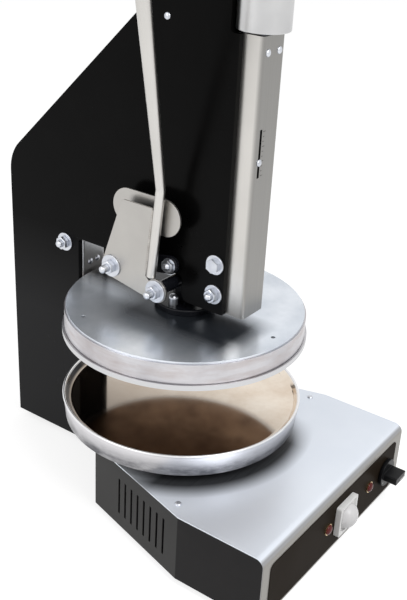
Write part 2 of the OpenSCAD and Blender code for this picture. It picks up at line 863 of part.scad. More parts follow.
// Through-bolts of the frame, and the pivot stud screwed into the left plate
module frame_bolts() color(zinc) {
  nut_face = half_w + washer_t + nut_t + stud_end - stud_dome;
  head_face = half_w + washer_t;
  for (p = [bolt_places[0], bolt_places[1]]) {
    bar_x(-nut_face, nut_face + head_face, p[0], p[1], bolt_r);
    hex_x(head_face, head_t, p[0], p[1], nut_r);
    stud_dome_at(-nut_face, p[0], p[1]);
  }
  bar_x(-head_face, nut_face + head_face, -nose_bolt_y, nose_bolt_high, bolt_r);
  hex_x(-head_face - head_t, head_t, -nose_bolt_y, nose_bolt_high, nut_r);
  pivot_tip = link_x + link_t + skin_gap + pivot_washer_t + pivot_nut_t + pivot_end;
  bar_x(-pivot_tip, pivot_tip - gap_half, 0, pivot_z, bolt_r);
  stud_dome_at(-pivot_tip, 0, pivot_z);
}

// Plain washer along X
module washer_x(x, t, y, z, r)
  difference() {
    bar_x(x, t, y, z, r);
    bar_x(x - overrun, t + 2 * overrun, y, z, bolt_r + run_fit);
  }

// Large washers under every head and nut of the frame
module frame_washers() color(zinc) {
  for (p = bolt_places)
    for (x = [-half_w - washer_t, half_w])
      washer_x(x, washer_t, p[0], p[1], frame_washer_r);
  washer_x(-link_x - link_t - skin_gap - pivot_washer_t, pivot_washer_t, 0, pivot_z, pivot_washer_r);
}

// Hexagon nut along X
module nut_x(x, t, y, z)
  difference() {
    hex_x(x, t, y, z, nut_r);
    bar_x(x - overrun, t + 2 * overrun, y, z, bolt_r + run_fit);
  }
module frame_nuts() color(zinc) {
  for (p = [bolt_places[0], bolt_places[1]])
    nut_x(-half_w - washer_t - nut_t, nut_t, p[0], p[1]);
  nut_x(half_w + washer_t, nut_t, -nose_bolt_y, nose_bolt_high);
  nut_x(-link_x - link_t - skin_gap - pivot_washer_t - pivot_nut_t, pivot_nut_t, 0, pivot_z);
}

top_screw_l = 18;

// White-headed screws near the top of both plates
module top_screws() color(zinc)
  for (s = [-1, 1])
    translate([s * half_w, top_screw_y, top_screw_z])
      rotate([0, s * 90, 0])
        dome_screw(top_screw_l);

// Three sides of a channel with two round corners, drawn in X and Y
function channel_path(half, front, back, r) = rounded(
  [[-half, back], [-half, front], [half, front], [half, back]],
  [0, r, r, 0]
);

// U-shaped sheet channel between the plates, open to the rear, drawn in X and Y
module channel(front, back) {
  inner = channel_path(channel_half - channel_t, front + channel_t, back, channel_bend_r - channel_t);
  polygon(concat(
    channel_path(channel_half, front, back, channel_bend_r),
    [for (i = [len(inner) - 1:-1:0]) inner[i]]
  ));
}

column_proud = 1;
column_clear = 1;
column_gap = 4;
column_front = max(throat_y - column_proud, housing_r + column_clear, disc_r + column_clear);
column_back = column_bolt_y + washer_r;
column_low = flange_z + flange_h + column_gap;
column_screw_x = 7.5;
column_screw_drop = 30.5;
column_screw_z = column_bolt_z - column_screw_drop;

// Stainless cover on the column's front, above the upper plate's path
module column_cover() color(stainless)
  difference() {
    translate([0, 0, column_low])
      linear_extrude(throat_z - skin_gap - column_low)
        channel(column_front, column_back);
    bar_x(-half_w, frame_w, column_bolt_y, column_bolt_z, bolt_hole_r);
    for (s = [-1, 1])
      translate([s * column_screw_x, overrun, 0])
        bar_front(0, column_front + channel_t, column_screw_z, channel_t + 2 * overrun, small_hole_r);
  }

rear_cover_in = 3;
cover_strip_t = 2;
hand_knob_clear = 2;

// Where the top strip ends: at the plates' notch, or behind the hand knob that turns there
top_cover_y = max(-notch_y, hand_knob_r + hand_knob_clear - spindle_y);

// Strip that closes the column's front behind the plates' edges
module front_cover() color(black_paint)
  translate([-gap_half, throat_y + rear_cover_in, frame_arm_top])
    cube([2 * gap_half, cover_strip_t, column_low - frame_arm_top]);

// Strip that closes the column's rear between the plates
module rear_cover() color(black_paint)
  translate([-gap_half, frame_rear_y - rear_cover_in - cover_strip_t, floor_sheet_z])
    cube([2 * gap_half, cover_strip_t, slope_z - floor_sheet_z - rear_corner_r]);

// Path along the plates' rear slope and top, drawn in by a distance, in Y and Z
function slope_path(inset) = let(
  turn_in = inset * tan(45 / 2),
  low = [frame_rear_y - inset, slope_z - rear_corner_r],
  knee = [frame_rear_y - inset, slope_z - turn_in],
  crest = [slope_top_y - turn_in, frame_top - inset],
  end = [top_cover_y, frame_top - inset]
) concat(
  [low],
  corner_arc(low, knee, crest, rear_corner_r - inset),
  corner_arc(knee, crest, end, corner_r - inset),
  [end]
);

// Strip that closes the slope and the top between the plates
module top_cover() color(black_paint) {
  inner = slope_path(rear_cover_in + cover_strip_t);
  along_x(-gap_half, 2 * gap_half)
    polygon(concat(slope_path(rear_cover_in), [for (i = [len(inner) - 1:-1:0]) inner[i]]));
}

nose_ahead = 16;
nose_lap = 4.5;
nose_front = -spindle_y - nose_ahead;
nose_back = -nose_bolt_y + tube_r + nose_lap;
nose_screw_x = 12;
nose_screw_drop = 19;
nose_screw_z = nose_top_z - nose_screw_drop;

// Stainless nose: a channel with a slit for the pointer
module nose_cover() color(stainless)
  difference() {
    translate([0, 0, toe_z])
      linear_extrude(nose_top_z - toe_z)
        channel(nose_front, nose_back);
    for (z = [nose_bolt_low, nose_bolt_high])
      bar_x(-half_w, frame_w, -nose_bolt_y, z, bolt_hole_r);
    translate([slit_x - slit_w / 2, nose_front - overrun, slit_low])
      cube([slit_w, channel_t + 2 * overrun, slit_high - slit_low]);
    for (s = [-1, 1])
      translate([s * nose_screw_x, overrun, 0])
        bar_front(0, nose_front + channel_t, nose_screw_z, channel_t + 2 * overrun, small_hole_r);
  }

block_half = channel_half - channel_t;
block_behind = 14;
block_back = -spindle_y + block_behind;

// Bearing block for the spindle, inside the nose
module spindle_block() color(dark_steel)
  difference() {
    translate([0, 0, block_z])
      linear_extrude(block_h)
        polygon(channel_path(block_half, nose_front + channel_t, block_back, channel_bend_r - channel_t));
    translate([0, -spindle_y, block_z - overrun])
      cylinder(h = block_h + 2 * overrun, r = spindle_r + run_fit);
    for (s = [-1, 1])
      translate([s * nose_screw_x, run_fit, 0])
        bar_front(0, nose_front + cover_screw_l, nose_screw_z, cover_screw_l, small_hole_r);
  }

spindle_under = 8;
spindle_low = slit_low - spindle_under;
knob_lift = 3;
knob_edge_r = 1.5;

// Threaded spindle
module adjuster_spindle() color(zinc)
  translate([0, -spindle_y, spindle_low])
    cylinder(h = nose_top_z + knob_lift + hand_knob_h / 2 - spindle_low, r = spindle_r);

// Turned hand knob on top of the nose
module adjuster_knob() color(cast_alloy)
  translate([0, -spindle_y, nose_top_z + knob_lift])
    difference() {
      rotate_extrude()
        polygon(rounded(
          [[0, 0], [hand_knob_r, 0], [hand_knob_r, hand_knob_h], [0, hand_knob_h]],
          [0, knob_edge_r, knob_edge_r, 0]
        ));
      translate([0, 0, -overrun])
        cylinder(h = hand_knob_h / 2 + overrun + run_fit, r = spindle_r + run_fit);
    }

stop_front = nose_front + channel_t + skin_gap;
stop_behind = 10;
stop_back = -spindle_y + stop_behind;
pointer_l = 8;

// Nut that travels on the spindle and stops the ram's arm
module stop_nut() color(dark_steel)
  difference() {
    translate([-stop_half_x, stop_front, pointer_z - nut_half])
      cube([2 * stop_half_x, stop_back - stop_front, 2 * nut_half]);
    translate([0, -spindle_y, pointer_z - nut_half - overrun])
      cylinder(h = 2 * (nut_half + overrun), r = spindle_r + run_fit);
    bar_front(slit_x, stop_front + pointer_l / 2, pointer_z, pointer_l, small_hole_r);
  }

// Screw through the slit that points at the scale
module pointer_screw() color(zinc)
  translate([slit_x, nose_front - skin_gap, pointer_z])
    rotate([90, 0, 0])
      dome_screw(channel_t + 2 * skin_gap + pointer_l / 2);

// Two blocks with true bores that guide the ram
module ram_guides() color(bronze)
  for (z = [guide_z, upper_guide_z])
    difference() {
      translate([-gap_half, -guide_half_y, z])
        cube([2 * gap_half, 2 * guide_half_y, guide_t]);
      translate([0, 0, z - overrun])
        cylinder(h = guide_t + 2 * overrun, r = ram_r + run_fit);
    }

slot_half = bolt_r + skin_gap;

// Ram: a straight shaft with a slot for the lever's lower bolt
module ram_shaft() color(dark_steel)
  difference() {
    translate([0, 0, disc_top])
      cylinder(h = ram_top - disc_top, r = ram_r);
    for (z = [ram_bolt_z + skin_gap, ram_bolt_z - slot_drop])
      bar_x(-2 * ram_r, 4 * ram_r, 0, z, slot_half);
    translate([-2 * ram_r, -slot_half, ram_bolt_z - slot_drop])
      cube([4 * ram_r, 2 * slot_half, slot_drop + skin_gap]);
  }

arm_ahead = 8;
arm_behind = 5;
arm_slot_gap = 1.5;
arm_end = -spindle_y - arm_ahead;
arm_slot_r = spindle_r + arm_slot_gap;

// Arm on the ram that comes down on the stop nut, forked round the spindle
module stop_arm() color(dark_steel)
  difference() {
    translate([-arm_half, arm_end, stop_arm_z])
      cube([2 * arm_half, ram_r + arm_behind - arm_end, arm_t]);
    translate([0, 0, stop_arm_z - overrun])
      cylinder(h = arm_t + 2 * overrun, r = ram_r + run_fit);
    translate([0, -spindle_y, stop_arm_z - overrun])
      cylinder(h = arm_t + 2 * overrun, r = arm_slot_r);
    translate([-arm_slot_r, arm_end - overrun, stop_arm_z - overrun])
      cube([2 * arm_slot_r, -spindle_y - arm_end + overrun, arm_t + 2 * overrun]);
  }

hub_bolt_pcd_r = 28;
hub_bolt_r = 4;
hub_bolt_out = 14;
hub_bolt_round_share = 0.8;
hub_bolt_turns = [60:120:300];
hub_bolt_in = 16;
hub_edge_r = 2;

// Hub that joins the ram to the upper plate
module hub_flange() color(black_paint)
  difference() {
    translate([0, 0, disc_top])
      rotate_extrude()
        polygon(rounded([[0, 0], [hub_r, 0], [hub_r, hub_h], [0, hub_h]], [0, 0, hub_edge_r, 0]));
    translate([0, 0, disc_top - overrun])
      cylinder(h = hub_h + 2 * overrun, r = ram_r + run_fit);
    for (a = hub_bolt_turns)
      rotate(a)
        translate([hub_bolt_pcd_r, 0, disc_top - overrun])
          cylinder(h = hub_h + 2 * overrun, r = hub_bolt_r + run_fit);
  }

// Bright studs with domed nuts on the hub
module hub_bolts() color(zinc)
  for (a = hub_bolt_turns)
    rotate(a)
      translate([hub_bolt_pcd_r, 0, disc_z - hub_bolt_in]) {
        cylinder(h = hub_bolt_in + disc_t + hub_h + hub_bolt_out / 2, r = hub_bolt_r);
        translate([0, 0, hub_bolt_in + disc_t + hub_h])
          rotate_extrude()
            polygon(rounded(
              [[0, 0], [bolt_head_r, 0], [bolt_head_r, hub_bolt_out], [0, hub_bolt_out]],
              [0, 0, bolt_head_r * hub_bolt_round_share, 0]
            ));
      }

disc_hole_r = 3;
disc_hole_in = 18;
disc_hole_pcd_r = disc_r - disc_hole_in;

// Flat disc on top of the upper plate
module top_disc() color(stainless)
  difference() {
    translate([0, 0, disc_z])
      cylinder(h = disc_t, r = disc_r, $fn = 128);
    for (a = [28:120:268])
      rotate(a)
        translate([disc_hole_pcd_r, 0, disc_z - overrun])
          cylinder(h = disc_t + 2 * overrun, r = disc_hole_r);
    for (a = hub_bolt_turns)
      rotate(a)
        translate([hub_bolt_pcd_r, 0, disc_z - overrun])
          cylinder(h = disc_t + 2 * overrun, r = hub_bolt_r + run_fit);
  }

housing_wall = 6;
groove = 1.2;
plate_seat = 10;
seat_lip = 2;
press_r = housing_r - housing_wall + seat_lip;

// Cast ring: flange below, wall above and a ledge for the heated plate
module upper_housing() color(cast_alloy) {
  high = upper_h - disc_t;
  neck_r = housing_r - groove;
  translate([0, 0, flange_z])
    rotate_extrude($fn = 128)
      polygon([
        [press_r, 0], [flange_r, 0], [flange_r, flange_h], [neck_r, flange_h],
        [neck_r, flange_h + groove], [housing_r, flange_h + groove], [housing_r, high],
        [press_r - seat_lip, high], [press_r - seat_lip, plate_seat], [press_r, plate_seat]
      ]);
}

pillar_r = 45;

// Heated pressing plate with its raised face and the pillar under the hub
module press_plate() color(cast_alloy)
  difference() {
    union() {
      translate([0, 0, flange_z - boss_h])
        cylinder(h = boss_h + run_fit, r = boss_r, $fn = 128);
      translate([0, 0, flange_z])
        cylinder(h = plate_seat, r = press_r - run_fit, $fn = 128);
      translate([0, 0, flange_z])
        cylinder(h = upper_h - disc_t, r = pillar_r);
    }
    for (a = hub_bolt_turns)
      rotate(a)
        translate([hub_bolt_pcd_r, 0, disc_z - hub_bolt_in - run_fit])
          cylinder(h = hub_bolt_in + overrun, r = hub_bolt_r + run_fit);
  }
module upper_element() element_rings_at(flange_z + plate_seat + element_r + run_fit);

// Return spring: one unbroken wire that winds up round the ram
spring_sides = 6;
spring_rings = 8;
spring_end = spring_wire_r + skin_gap;
spring_rise = spring_l - 2 * spring_end;
spring_step = spring_rise / (spring_turns * spring_rings);
function spring_point(i) = let(a = 360 * i / spring_rings)
  [spring_r * cos(a), spring_r * sin(a), spring_z + spring_end + spring_step * i];
function spring_ring(i) = let(a = 360 * i / spring_rings, c = spring_point(i))
  [for (k = [0:spring_sides - 1]) let(t = 360 * k / spring_sides)
    c + spring_wire_r * [cos(t) * cos(a), cos(t) * sin(a), sin(t)]];
module return_spring() color(zinc) {
  n = spring_turns * spring_rings;
  last = n * spring_sides;
  polyhedron(
    points = [for (i = [0:n]) each spring_ring(i)],
    faces = concat(
      [for (i = [0:n - 1]) for (k = [0:spring_sides - 1]) let(
        a = i * spring_sides + k,
        b = i * spring_sides + (k + 1) % spring_sides
      ) each [[a, b, a + spring_sides], [b, b + spring_sides, a + spring_sides]]],
      [for (k = [1:spring_sides - 2]) [0, k + 1, k]],
      [for (k = [1:spring_sides - 2]) [last, last + k, last + k + 1]]
    )
  );
}
spring_gap = min([for (i = [0:spring_rings]) for (j = [i + spring_rings - 1:i + spring_rings + 1])
  norm(spring_point(j) - spring_point(i))]) - 2 * spring_wire_r;
echo(spring_least_gap = spring_gap);

// Outline of a flat bar with round ends and a hole at each end, drawn in Y and Z
module link_outline(a, b, w, hole_r)
  difference() {
    union() {
      for (p = [a, b])
        translate(p)
          circle(r = w / 2);
      side = [-unit(b - a)[1], unit(b - a)[0]] * (w / 2 - run_fit);
      polygon([a + side, a - side, b - side, b + side]);
    }
    for (p = [a, b])
      translate(p)
        circle(r = hole_r);
  }

// Link from the fixed pivot to the knee
module toggle_link() color(black_paint)
  along_x(-link_x - link_t, link_t)
    link_outline([0, pivot_z], [knee_y, knee_z], link_w, bolt_r + run_fit);

cheek_top_drop = 26;
cheek_top_in = 16;
cheek_corner_r = 7;
cheek_top_z = rod_bend_z - cheek_top_drop;
cheek_top_rear = knee_y - cheek_top_in;
back_h = 49;
back_drop = 39;
back_ahead = 24;
back_behind = 10;
back_low_z = cheek_top_z - back_drop;
back_front_y = -back_ahead;
back_rear_y = knee_y + back_behind;
web_t = 3;
web_front_y = 16;
web_rear_y = 60;

// Point where a line from p touches a circle, on the rear side
function touch(c, r, p) = let(
  d = p - c,
  a = atan2(d[1], d[0]) - acos(r / norm(d))
) c + r * [cos(a), sin(a)];

// Lever bracket: near cheek, rounded back plate and the web between them
module lever_bracket() color(stainless) {
  knee = [knee_y, knee_z];
  low = [0, ram_bolt_z];
  bend_r = cheek_round - run_fit;
  below = [unit(knee - low)[1], -unit(knee - low)[0]] * bend_r;
  rod_slope = (rod_knee[1] - rod_low[1]) / (rod_knee[2] - rod_low[2]);
  chord = sqrt(rod_r * rod_r - pow(rod_x - cheek_x + cheek_t, 2)) + run_fit * 2;
  behind_rod = chord * sqrt(1 + rod_slope * rod_slope);
  top_rear = [cheek_top_rear, cheek_top_z];
  top_front = [rod_low[1] + rod_slope * (cheek_top_z - rod_low[2]) + behind_rod, cheek_top_z];
  foot_front = [rod_low[1] + behind_rod, rod_low[2]];
  difference() {
    along_x(-cheek_x, cheek_t)
      union() {
        for (p = [knee, low])
          translate(p)
            circle(r = cheek_round);
        polygon(rounded(
          [low + below, knee + below, touch(knee, bend_r, top_rear), top_rear, top_front, foot_front,
           low + unit(foot_front - low) * bend_r, low],
          [0, 0, 0, cheek_corner_r, 0, 0, 0, 0]
        ));
      }
    for (p = [knee, low])
      bar_x(-cheek_x - overrun, cheek_t + 2 * overrun, p[0], p[1], bolt_r + run_fit);
  }
  along_x(-back_flange_x, back_flange_t)
    union() {
      for (y = [back_front_y + back_h / 2, back_rear_y - back_h / 2])
        translate([y, back_low_z + back_h / 2])
          circle(r = back_h / 2);
      translate([back_front_y + back_h / 2, back_low_z])
        square([back_rear_y - back_front_y - back_h, back_h]);
    }
  translate([-cheek_x + cheek_t / 2, web_front_y, back_low_z + web_t])
    cube([back_flange_gap, web_rear_y - web_front_y, web_t]);
}

// Lever rod: straight at the cheek, bent, then swelling upwards
module lever_rod() color(stainless) {
  bar_between(rod_low, rod_knee, rod_r, rod_r);
  translate(rod_knee)
    sphere(r = rod_r + run_fit);
  bar_between(rod_knee, rod_end, rod_r, rod_top_r);
}

grip_in = 60;
grip_edge_r = 5;

// Hand grip on the rod's end
module lever_grip() color(rubber_black)
  translate(rod_end - rod_dir * grip_in)
    rotate([0, acos(rod_dir[2]), atan2(rod_dir[1], rod_dir[0])])
      difference() {
        rotate_extrude()
          polygon(rounded(
            [[0, 0], [grip_r, 0], [grip_r, grip_l], [0, grip_l]],
            [0, grip_edge_r, grip_edge_r * 2, 0]
          ));
        translate([0, 0, -overrun])
          cylinder(h = grip_in + overrun + run_fit, r = rod_top_r + run_fit);
      }

lever_end_x = cheek_x + washer_t + nut_t + lever_stud_end - stud_dome;
ram_bolt_over = 1;
ram_bolt_far = ram_r + ram_bolt_over;
lever_places = [[knee_y, knee_z], [0, ram_bolt_z]];

// Bolts of the lever: at the knee and through the ram
module lever_bolts() color(zinc) {
  bar_x(-lever_end_x, lever_end_x - link_x + low_head_t / 2, knee_y, knee_z, bolt_r);
  stud_dome_at(-lever_end_x, knee_y, knee_z);
  bar_x(-link_x + skin_gap, low_head_t - skin_gap, knee_y, knee_z, nut_r);
  bar_x(-lever_end_x, lever_end_x + ram_bolt_far + low_head_t / 2, 0, ram_bolt_z, bolt_r);
  stud_dome_at(-lever_end_x, 0, ram_bolt_z);
  hex_x(ram_bolt_far, low_head_t, 0, ram_bolt_z, nut_r);
}

// Bushes that hold the cheek off the link and the ram
module lever_bushes() color(black_paint) {
  cheek_in = cheek_x - cheek_t;
  washer_x(-cheek_in, cheek_in - link_x - link_t - skin_gap, knee_y, knee_z, bush_r);
  washer_x(-cheek_in, cheek_in - ram_r - skin_gap, 0, ram_bolt_z, bush_r);
}

// Large washers outside the cheek
module lever_washers() color(zinc)
  for (p = lever_places)
    washer_x(-cheek_x - washer_t, washer_t, p[0], p[1], washer_r);

// Nuts outside the cheek
module lever_nuts() color(zinc)
  for (p = lever_places)
    nut_x(-cheek_x - washer_t - nut_t, nut_t, p[0], p[1]);

base_cover();
side_panel_left();
side_panel_right();
rear_panel();
bottom_plate();
rubber_feet();
column_foot();
label_panel();
cover_screws();
thermostat_knob();
thermostat_shaft();
thermostat_body();
switch_bezel();
switch_boot();
switch_button();
switch_body();
lamp_lenses();
lamp_bodies();
cable_gland();
pan_pedestal();
pan_bolts();
lower_pan();
lower_element();
frame_plate_left();
frame_plate_right();
frame_crossbars();
frame_spacers();
frame_bolts();
frame_washers();
frame_nuts();
top_screws();
column_cover();
front_cover();
rear_cover();
top_cover();
nose_cover();
spindle_block();
ram_guides();
adjuster_spindle();
adjuster_knob();
stop_nut();
pointer_screw();
ram_shaft();
stop_arm();
return_spring();
hub_flange();
hub_bolts();
top_disc();
upper_housing();
press_plate();
upper_element();
toggle_link();
lever_bracket();
lever_rod();
lever_grip();
lever_bolts();
lever_bushes();
lever_washers();
lever_nuts();
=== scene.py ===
"""Dresses the heated dough press: finishes of its solids, fine pieces, camera, floor and light."""
import json
import logging
import math
from dataclasses import dataclass
from enum import Enum
from typing import Sequence

import bmesh
import bpy
import numpy as np
from mathutils import Matrix, Vector


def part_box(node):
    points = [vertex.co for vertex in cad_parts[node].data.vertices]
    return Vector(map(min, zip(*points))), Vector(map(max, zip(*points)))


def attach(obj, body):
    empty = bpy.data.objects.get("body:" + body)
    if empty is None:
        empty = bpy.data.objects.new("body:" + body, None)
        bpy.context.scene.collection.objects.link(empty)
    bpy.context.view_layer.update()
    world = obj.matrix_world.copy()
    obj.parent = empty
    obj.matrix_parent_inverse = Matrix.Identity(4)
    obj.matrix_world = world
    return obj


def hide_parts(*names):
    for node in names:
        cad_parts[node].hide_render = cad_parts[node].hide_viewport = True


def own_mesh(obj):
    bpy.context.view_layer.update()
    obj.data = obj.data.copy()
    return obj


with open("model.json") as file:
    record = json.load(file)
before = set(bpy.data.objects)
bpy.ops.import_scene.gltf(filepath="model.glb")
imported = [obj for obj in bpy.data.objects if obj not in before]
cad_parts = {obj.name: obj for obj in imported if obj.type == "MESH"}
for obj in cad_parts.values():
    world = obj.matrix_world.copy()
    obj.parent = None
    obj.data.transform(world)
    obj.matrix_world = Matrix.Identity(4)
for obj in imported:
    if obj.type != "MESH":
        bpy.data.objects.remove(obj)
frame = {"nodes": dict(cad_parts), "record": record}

log = logging.getLogger("dough_press")
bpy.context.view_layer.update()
MM = 0.001
FULL_TURN = 2.0 * np.pi
Colour = tuple[float, float, float]
Triple = tuple[float, float, float]
Pair = tuple[float, float]
MeshData = tuple[np.ndarray, list[list[int]]]
Socket = bpy.types.NodeSocket

WHITE = (1.0, 1.0, 1.0, 1.0)
# Parts of a noise's range that drive the streaks, the roughness and the slow change of tone
STREAK_SPAN: Pair = (0.25, 0.75)
GRAIN_SPAN: Pair = (0.2, 0.8)
TONE_SPAN: Pair = (0.3, 0.7)
# Depth in metres of the bump of a brushed metal and of a coat
GRAIN_DEPTH = 0.03 * MM
PEEL_DEPTH = 0.05 * MM
# Angles in degrees past which an edge is shown sharp
PLAIN_SHARP = 35.0
NUT_SHARP = 20.0
WIRE_SHARP = 60.0
# Decimal places that a micrometre has in metres
MICRON_PLACES = 6
# How a copy of a node is merged and bevelled: a distance in metres, two angles in degrees, a weight
MERGE_WITHIN = 0.002 * MM
FLAT_WITHIN = 0.6
BEVEL_PAST = 40.0
FACE_WEIGHT = 100
# Sockets of the Mix node: its share, its two numbers, its two colours, and the mixed colour
MIX_SHARE = 0
MIX_NUMBERS = (2, 3)
MIX_COLOURS = (6, 7)
MIXED_COLOUR = 2


class Grain(Enum):
    """Direction in which a surface was brushed, as waves per metre along X, Y and Z."""

    ALONG_X = (6.0, 1100.0, 1100.0)
    ALONG_Y = (1100.0, 6.0, 1100.0)
    ALONG_Z = (1100.0, 1100.0, 6.0)
    ROUND_Z = (8.0, 8.0, 1500.0)
    EVEN = (900.0, 900.0, 900.0)


class Along(Enum):
    """Coordinate that a zone of a finish follows; the radius is taken from the press axis."""

    X = 0
    Y = 1
    Z = 2
    RADIUS = 3


class Side(Enum):
    """Which end of a bolt carries its nut."""

    LEFT = -1
    RIGHT = 1


class Tree:
    """A node tree with short calls for adding and joining nodes."""

    def __init__(self, tree: bpy.types.NodeTree) -> None:
        """Starts on an empty tree."""
        self.tree = tree
        tree.nodes.clear()

    def add(self, kind: str, **settings: object) -> bpy.types.Node:
        """Adds a node.

        Args:
            kind: The node's type name.
            settings: Properties to set on it.

        Returns:
            The new node.
        """
        made = self.tree.nodes.new(kind)
        for key, value in settings.items():
            setattr(made, key, value)
        return made

    def join(self, source: Socket, target: Socket) -> None:
        """Links one socket to another."""
        self.tree.links.new(source, target)

    def feed(self, target: Socket, value: object) -> None:
        """Links a socket to the target, or sets the target's own value.

        Args:
            target: The input to feed.
            value: Socket or constant.
        """
        if isinstance(value, Socket):
            self.join(value, target)
        else:
            target.default_value = value

    def maths(self, how: str, first: object, second: object) -> Socket:
        """Adds a Math node.

        Args:
            how: The operation.
            first: Socket or number.
            second: Socket or number.

        Returns:
            The result's socket.
        """
        made = self.add("ShaderNodeMath", operation=how)
        self.feed(made.inputs[0], first)
        self.feed(made.inputs[1], second)
        return made.outputs[0]

    def span(self, value: Socket, source: Pair, target: Pair = (0.0, 1.0)) -> Socket:
        """Maps a value from one range to another, clamped.

        Args:
            value: Socket to map.
            source: Start and end of the first range.
            target: Results at that start and end.

        Returns:
            The mapped value's socket.
        """
        made = self.add("ShaderNodeMapRange", clamp=True)
        self.join(value, made.inputs[0])
        for place, number in enumerate((*source, *target), start=1):
            made.inputs[place].default_value = number
        return made.outputs[0]

    def blend(self, share: Socket, first: object, second: object) -> Socket:
        """Mixes two colours.

        Args:
            share: Share of the second colour.
            first: Socket or colour.
            second: Socket or colour.

        Returns:
            The mixed colour's socket.
        """
        made = self.add("ShaderNodeMix", data_type="RGBA")
        self.join(share, made.inputs[MIX_SHARE])
        for place, value in zip(MIX_COLOURS, (first, second)):
            self.feed(made.inputs[place], opaque(value) if isinstance(value, tuple) else value)
        return made.outputs[MIXED_COLOUR]

    def noise(self, vector: Socket, scale: object, detail: float, rough: float = 0.55) -> Socket:
        """Adds noise.

        Args:
            vector: Socket of the place.
            scale: Waves per metre, as a socket or a number.
            detail: Number of finer layers.
            rough: Weight of the finer layers.

        Returns:
            The noise value's socket.
        """
        made = self.add("ShaderNodeTexNoise")
        self.join(vector, made.inputs["Vector"])
        self.feed(made.inputs["Scale"], scale)
        made.inputs["Detail"].default_value = detail
        made.inputs["Roughness"].default_value = rough
        return made.outputs["Fac"]

    def parts(self, vector: Socket) -> bpy.types.NodeOutputs:
        """Splits a vector into its three coordinates.

        Args:
            vector: Socket of the vector.

        Returns:
            The sockets of X, Y and Z.
        """
        made = self.add("ShaderNodeSeparateXYZ")
        self.join(vector, made.inputs[0])
        return made.outputs

    def scaled(self, vector: Socket, by: object) -> Socket:
        """Multiplies a vector, part by part.

        Args:
            vector: Socket of the vector.
            by: Socket or three numbers.

        Returns:
            The product's socket.
        """
        made = self.add("ShaderNodeVectorMath", operation="MULTIPLY")
        self.join(vector, made.inputs[0])
        self.feed(made.inputs[1], by)
        return made.outputs[0]

    def radius(self, vector: Socket) -> Socket:
        """Gives the distance of a place from the press axis.

        Args:
            vector: Socket of the place.

        Returns:
            The distance's socket.
        """
        made = self.add("ShaderNodeVectorMath", operation="LENGTH")
        self.join(self.scaled(vector, (1.0, 1.0, 0.0)), made.inputs[0])
        return made.outputs["Value"]


def opaque(colour: Colour) -> tuple[float, float, float, float]:
    """Adds full opacity to a colour."""
    return (*colour, 1.0)


class Effects:
    """Shader node groups that several finishes share."""

    BLOTCH_SPAN: Pair = (0.45, 1.05)
    TONE_SCALE: float = 9.0

    def __init__(self) -> None:
        """Builds each group once."""
        self.brushed = self._brushed()
        self.stain = self._stain()
        self.orange_peel = self._orange_peel()

    @staticmethod
    def _new(name: str, inputs: dict[str, str], outputs: Sequence[str]) -> tuple:
        """Makes a group with named sockets.

        Args:
            name: The group's name.
            inputs: Socket type of each input, by its name.
            outputs: Name of each value that comes out.

        Returns:
            The group, a builder for its nodes, its inputs inside and its outputs inside.
        """
        group = bpy.data.node_groups.new(name, "ShaderNodeTree")
        for label, kind in inputs.items():
            group.interface.new_socket(label, in_out="INPUT", socket_type=f"NodeSocket{kind}")
        for label in outputs:
            group.interface.new_socket(label, in_out="OUTPUT", socket_type="NodeSocketFloat")
        tree = Tree(group)
        inside, out = tree.add("NodeGroupInput"), tree.add("NodeGroupOutput")
        return group, tree, inside.outputs, out.inputs

    def _brushed(self) -> bpy.types.NodeTree:
        """Makes fine streaks along one direction, and slow clouds under them.

        Returns:
            The group.
        """
        inputs = {"Place": "Vector", "Stretch": "Vector", "Clouds": "Float"}
        group, tree, given, out = self._new("brushed_metal", inputs, ("Grain", "Cloud"))
        pulled = tree.scaled(given["Place"], given["Stretch"])
        tree.join(tree.noise(pulled, 1.0, detail=4.0, rough=0.6), out["Grain"])
        cloud = tree.noise(given["Place"], given["Clouds"], detail=4.0)
        tree.join(tree.span(cloud, TONE_SPAN), out["Cloud"])
        return group

    def _stain(self) -> bpy.types.NodeTree:
        """Makes blotches with soft edges.

        Returns:
            The group.
        """
        inputs = {"Place": "Vector", "Scale": "Float", "Cover": "Float"}
        group, tree, given, out = self._new("blotches", inputs, ("Mask",))
        blot = tree.noise(given["Place"], given["Scale"], detail=6.0, rough=0.62)
        raised = tree.maths("ADD", blot, given["Cover"])
        tree.join(tree.span(raised, self.BLOTCH_SPAN), out["Mask"])
        return group

    def _orange_peel(self) -> bpy.types.NodeTree:
        """Makes the fine bumps of a powder coat, and a slow change of tone.

        Returns:
            The group.
        """
        inputs = {"Place": "Vector", "Fineness": "Float"}
        group, tree, given, out = self._new("powder_coat", inputs, ("Height", "Tone"))
        tree.join(tree.noise(given["Place"], given["Fineness"], detail=2.0), out["Height"])
        tree.join(tree.noise(given["Place"], self.TONE_SCALE, detail=5.0), out["Tone"])
        return group


EFFECTS = Effects()


def new_material(name: str) -> tuple[bpy.types.Material, Tree, bpy.types.Node, Socket]:
    """Starts a material with one Principled shader.

    Args:
        name: The material's name.

    Returns:
        The material, its tree, the shader, and the socket of the object's own coordinates.
    """
    material = bpy.data.materials.new(name)
    material.use_nodes = True
    tree = Tree(material.node_tree)
    shader = tree.add("ShaderNodeBsdfPrincipled")
    out = tree.add("ShaderNodeOutputMaterial")
    tree.join(shader.outputs[0], out.inputs[0])
    place = tree.add("ShaderNodeTexCoord").outputs["Object"]
    return material, tree, shader, place


def place_group(tree: Tree, group: bpy.types.NodeTree, **values: object) -> bpy.types.NodeOutputs:
    """Places a shared effect in a material.

    Args:
        tree: The material's tree.
        group: The effect.
        values: Inputs by name, as sockets or constants.

    Returns:
        The sockets that the effect puts out.
    """
    made = tree.add("ShaderNodeGroup")
    made.node_tree = group
    for key, value in values.items():
        tree.feed(made.inputs[key], value)
    return made.outputs


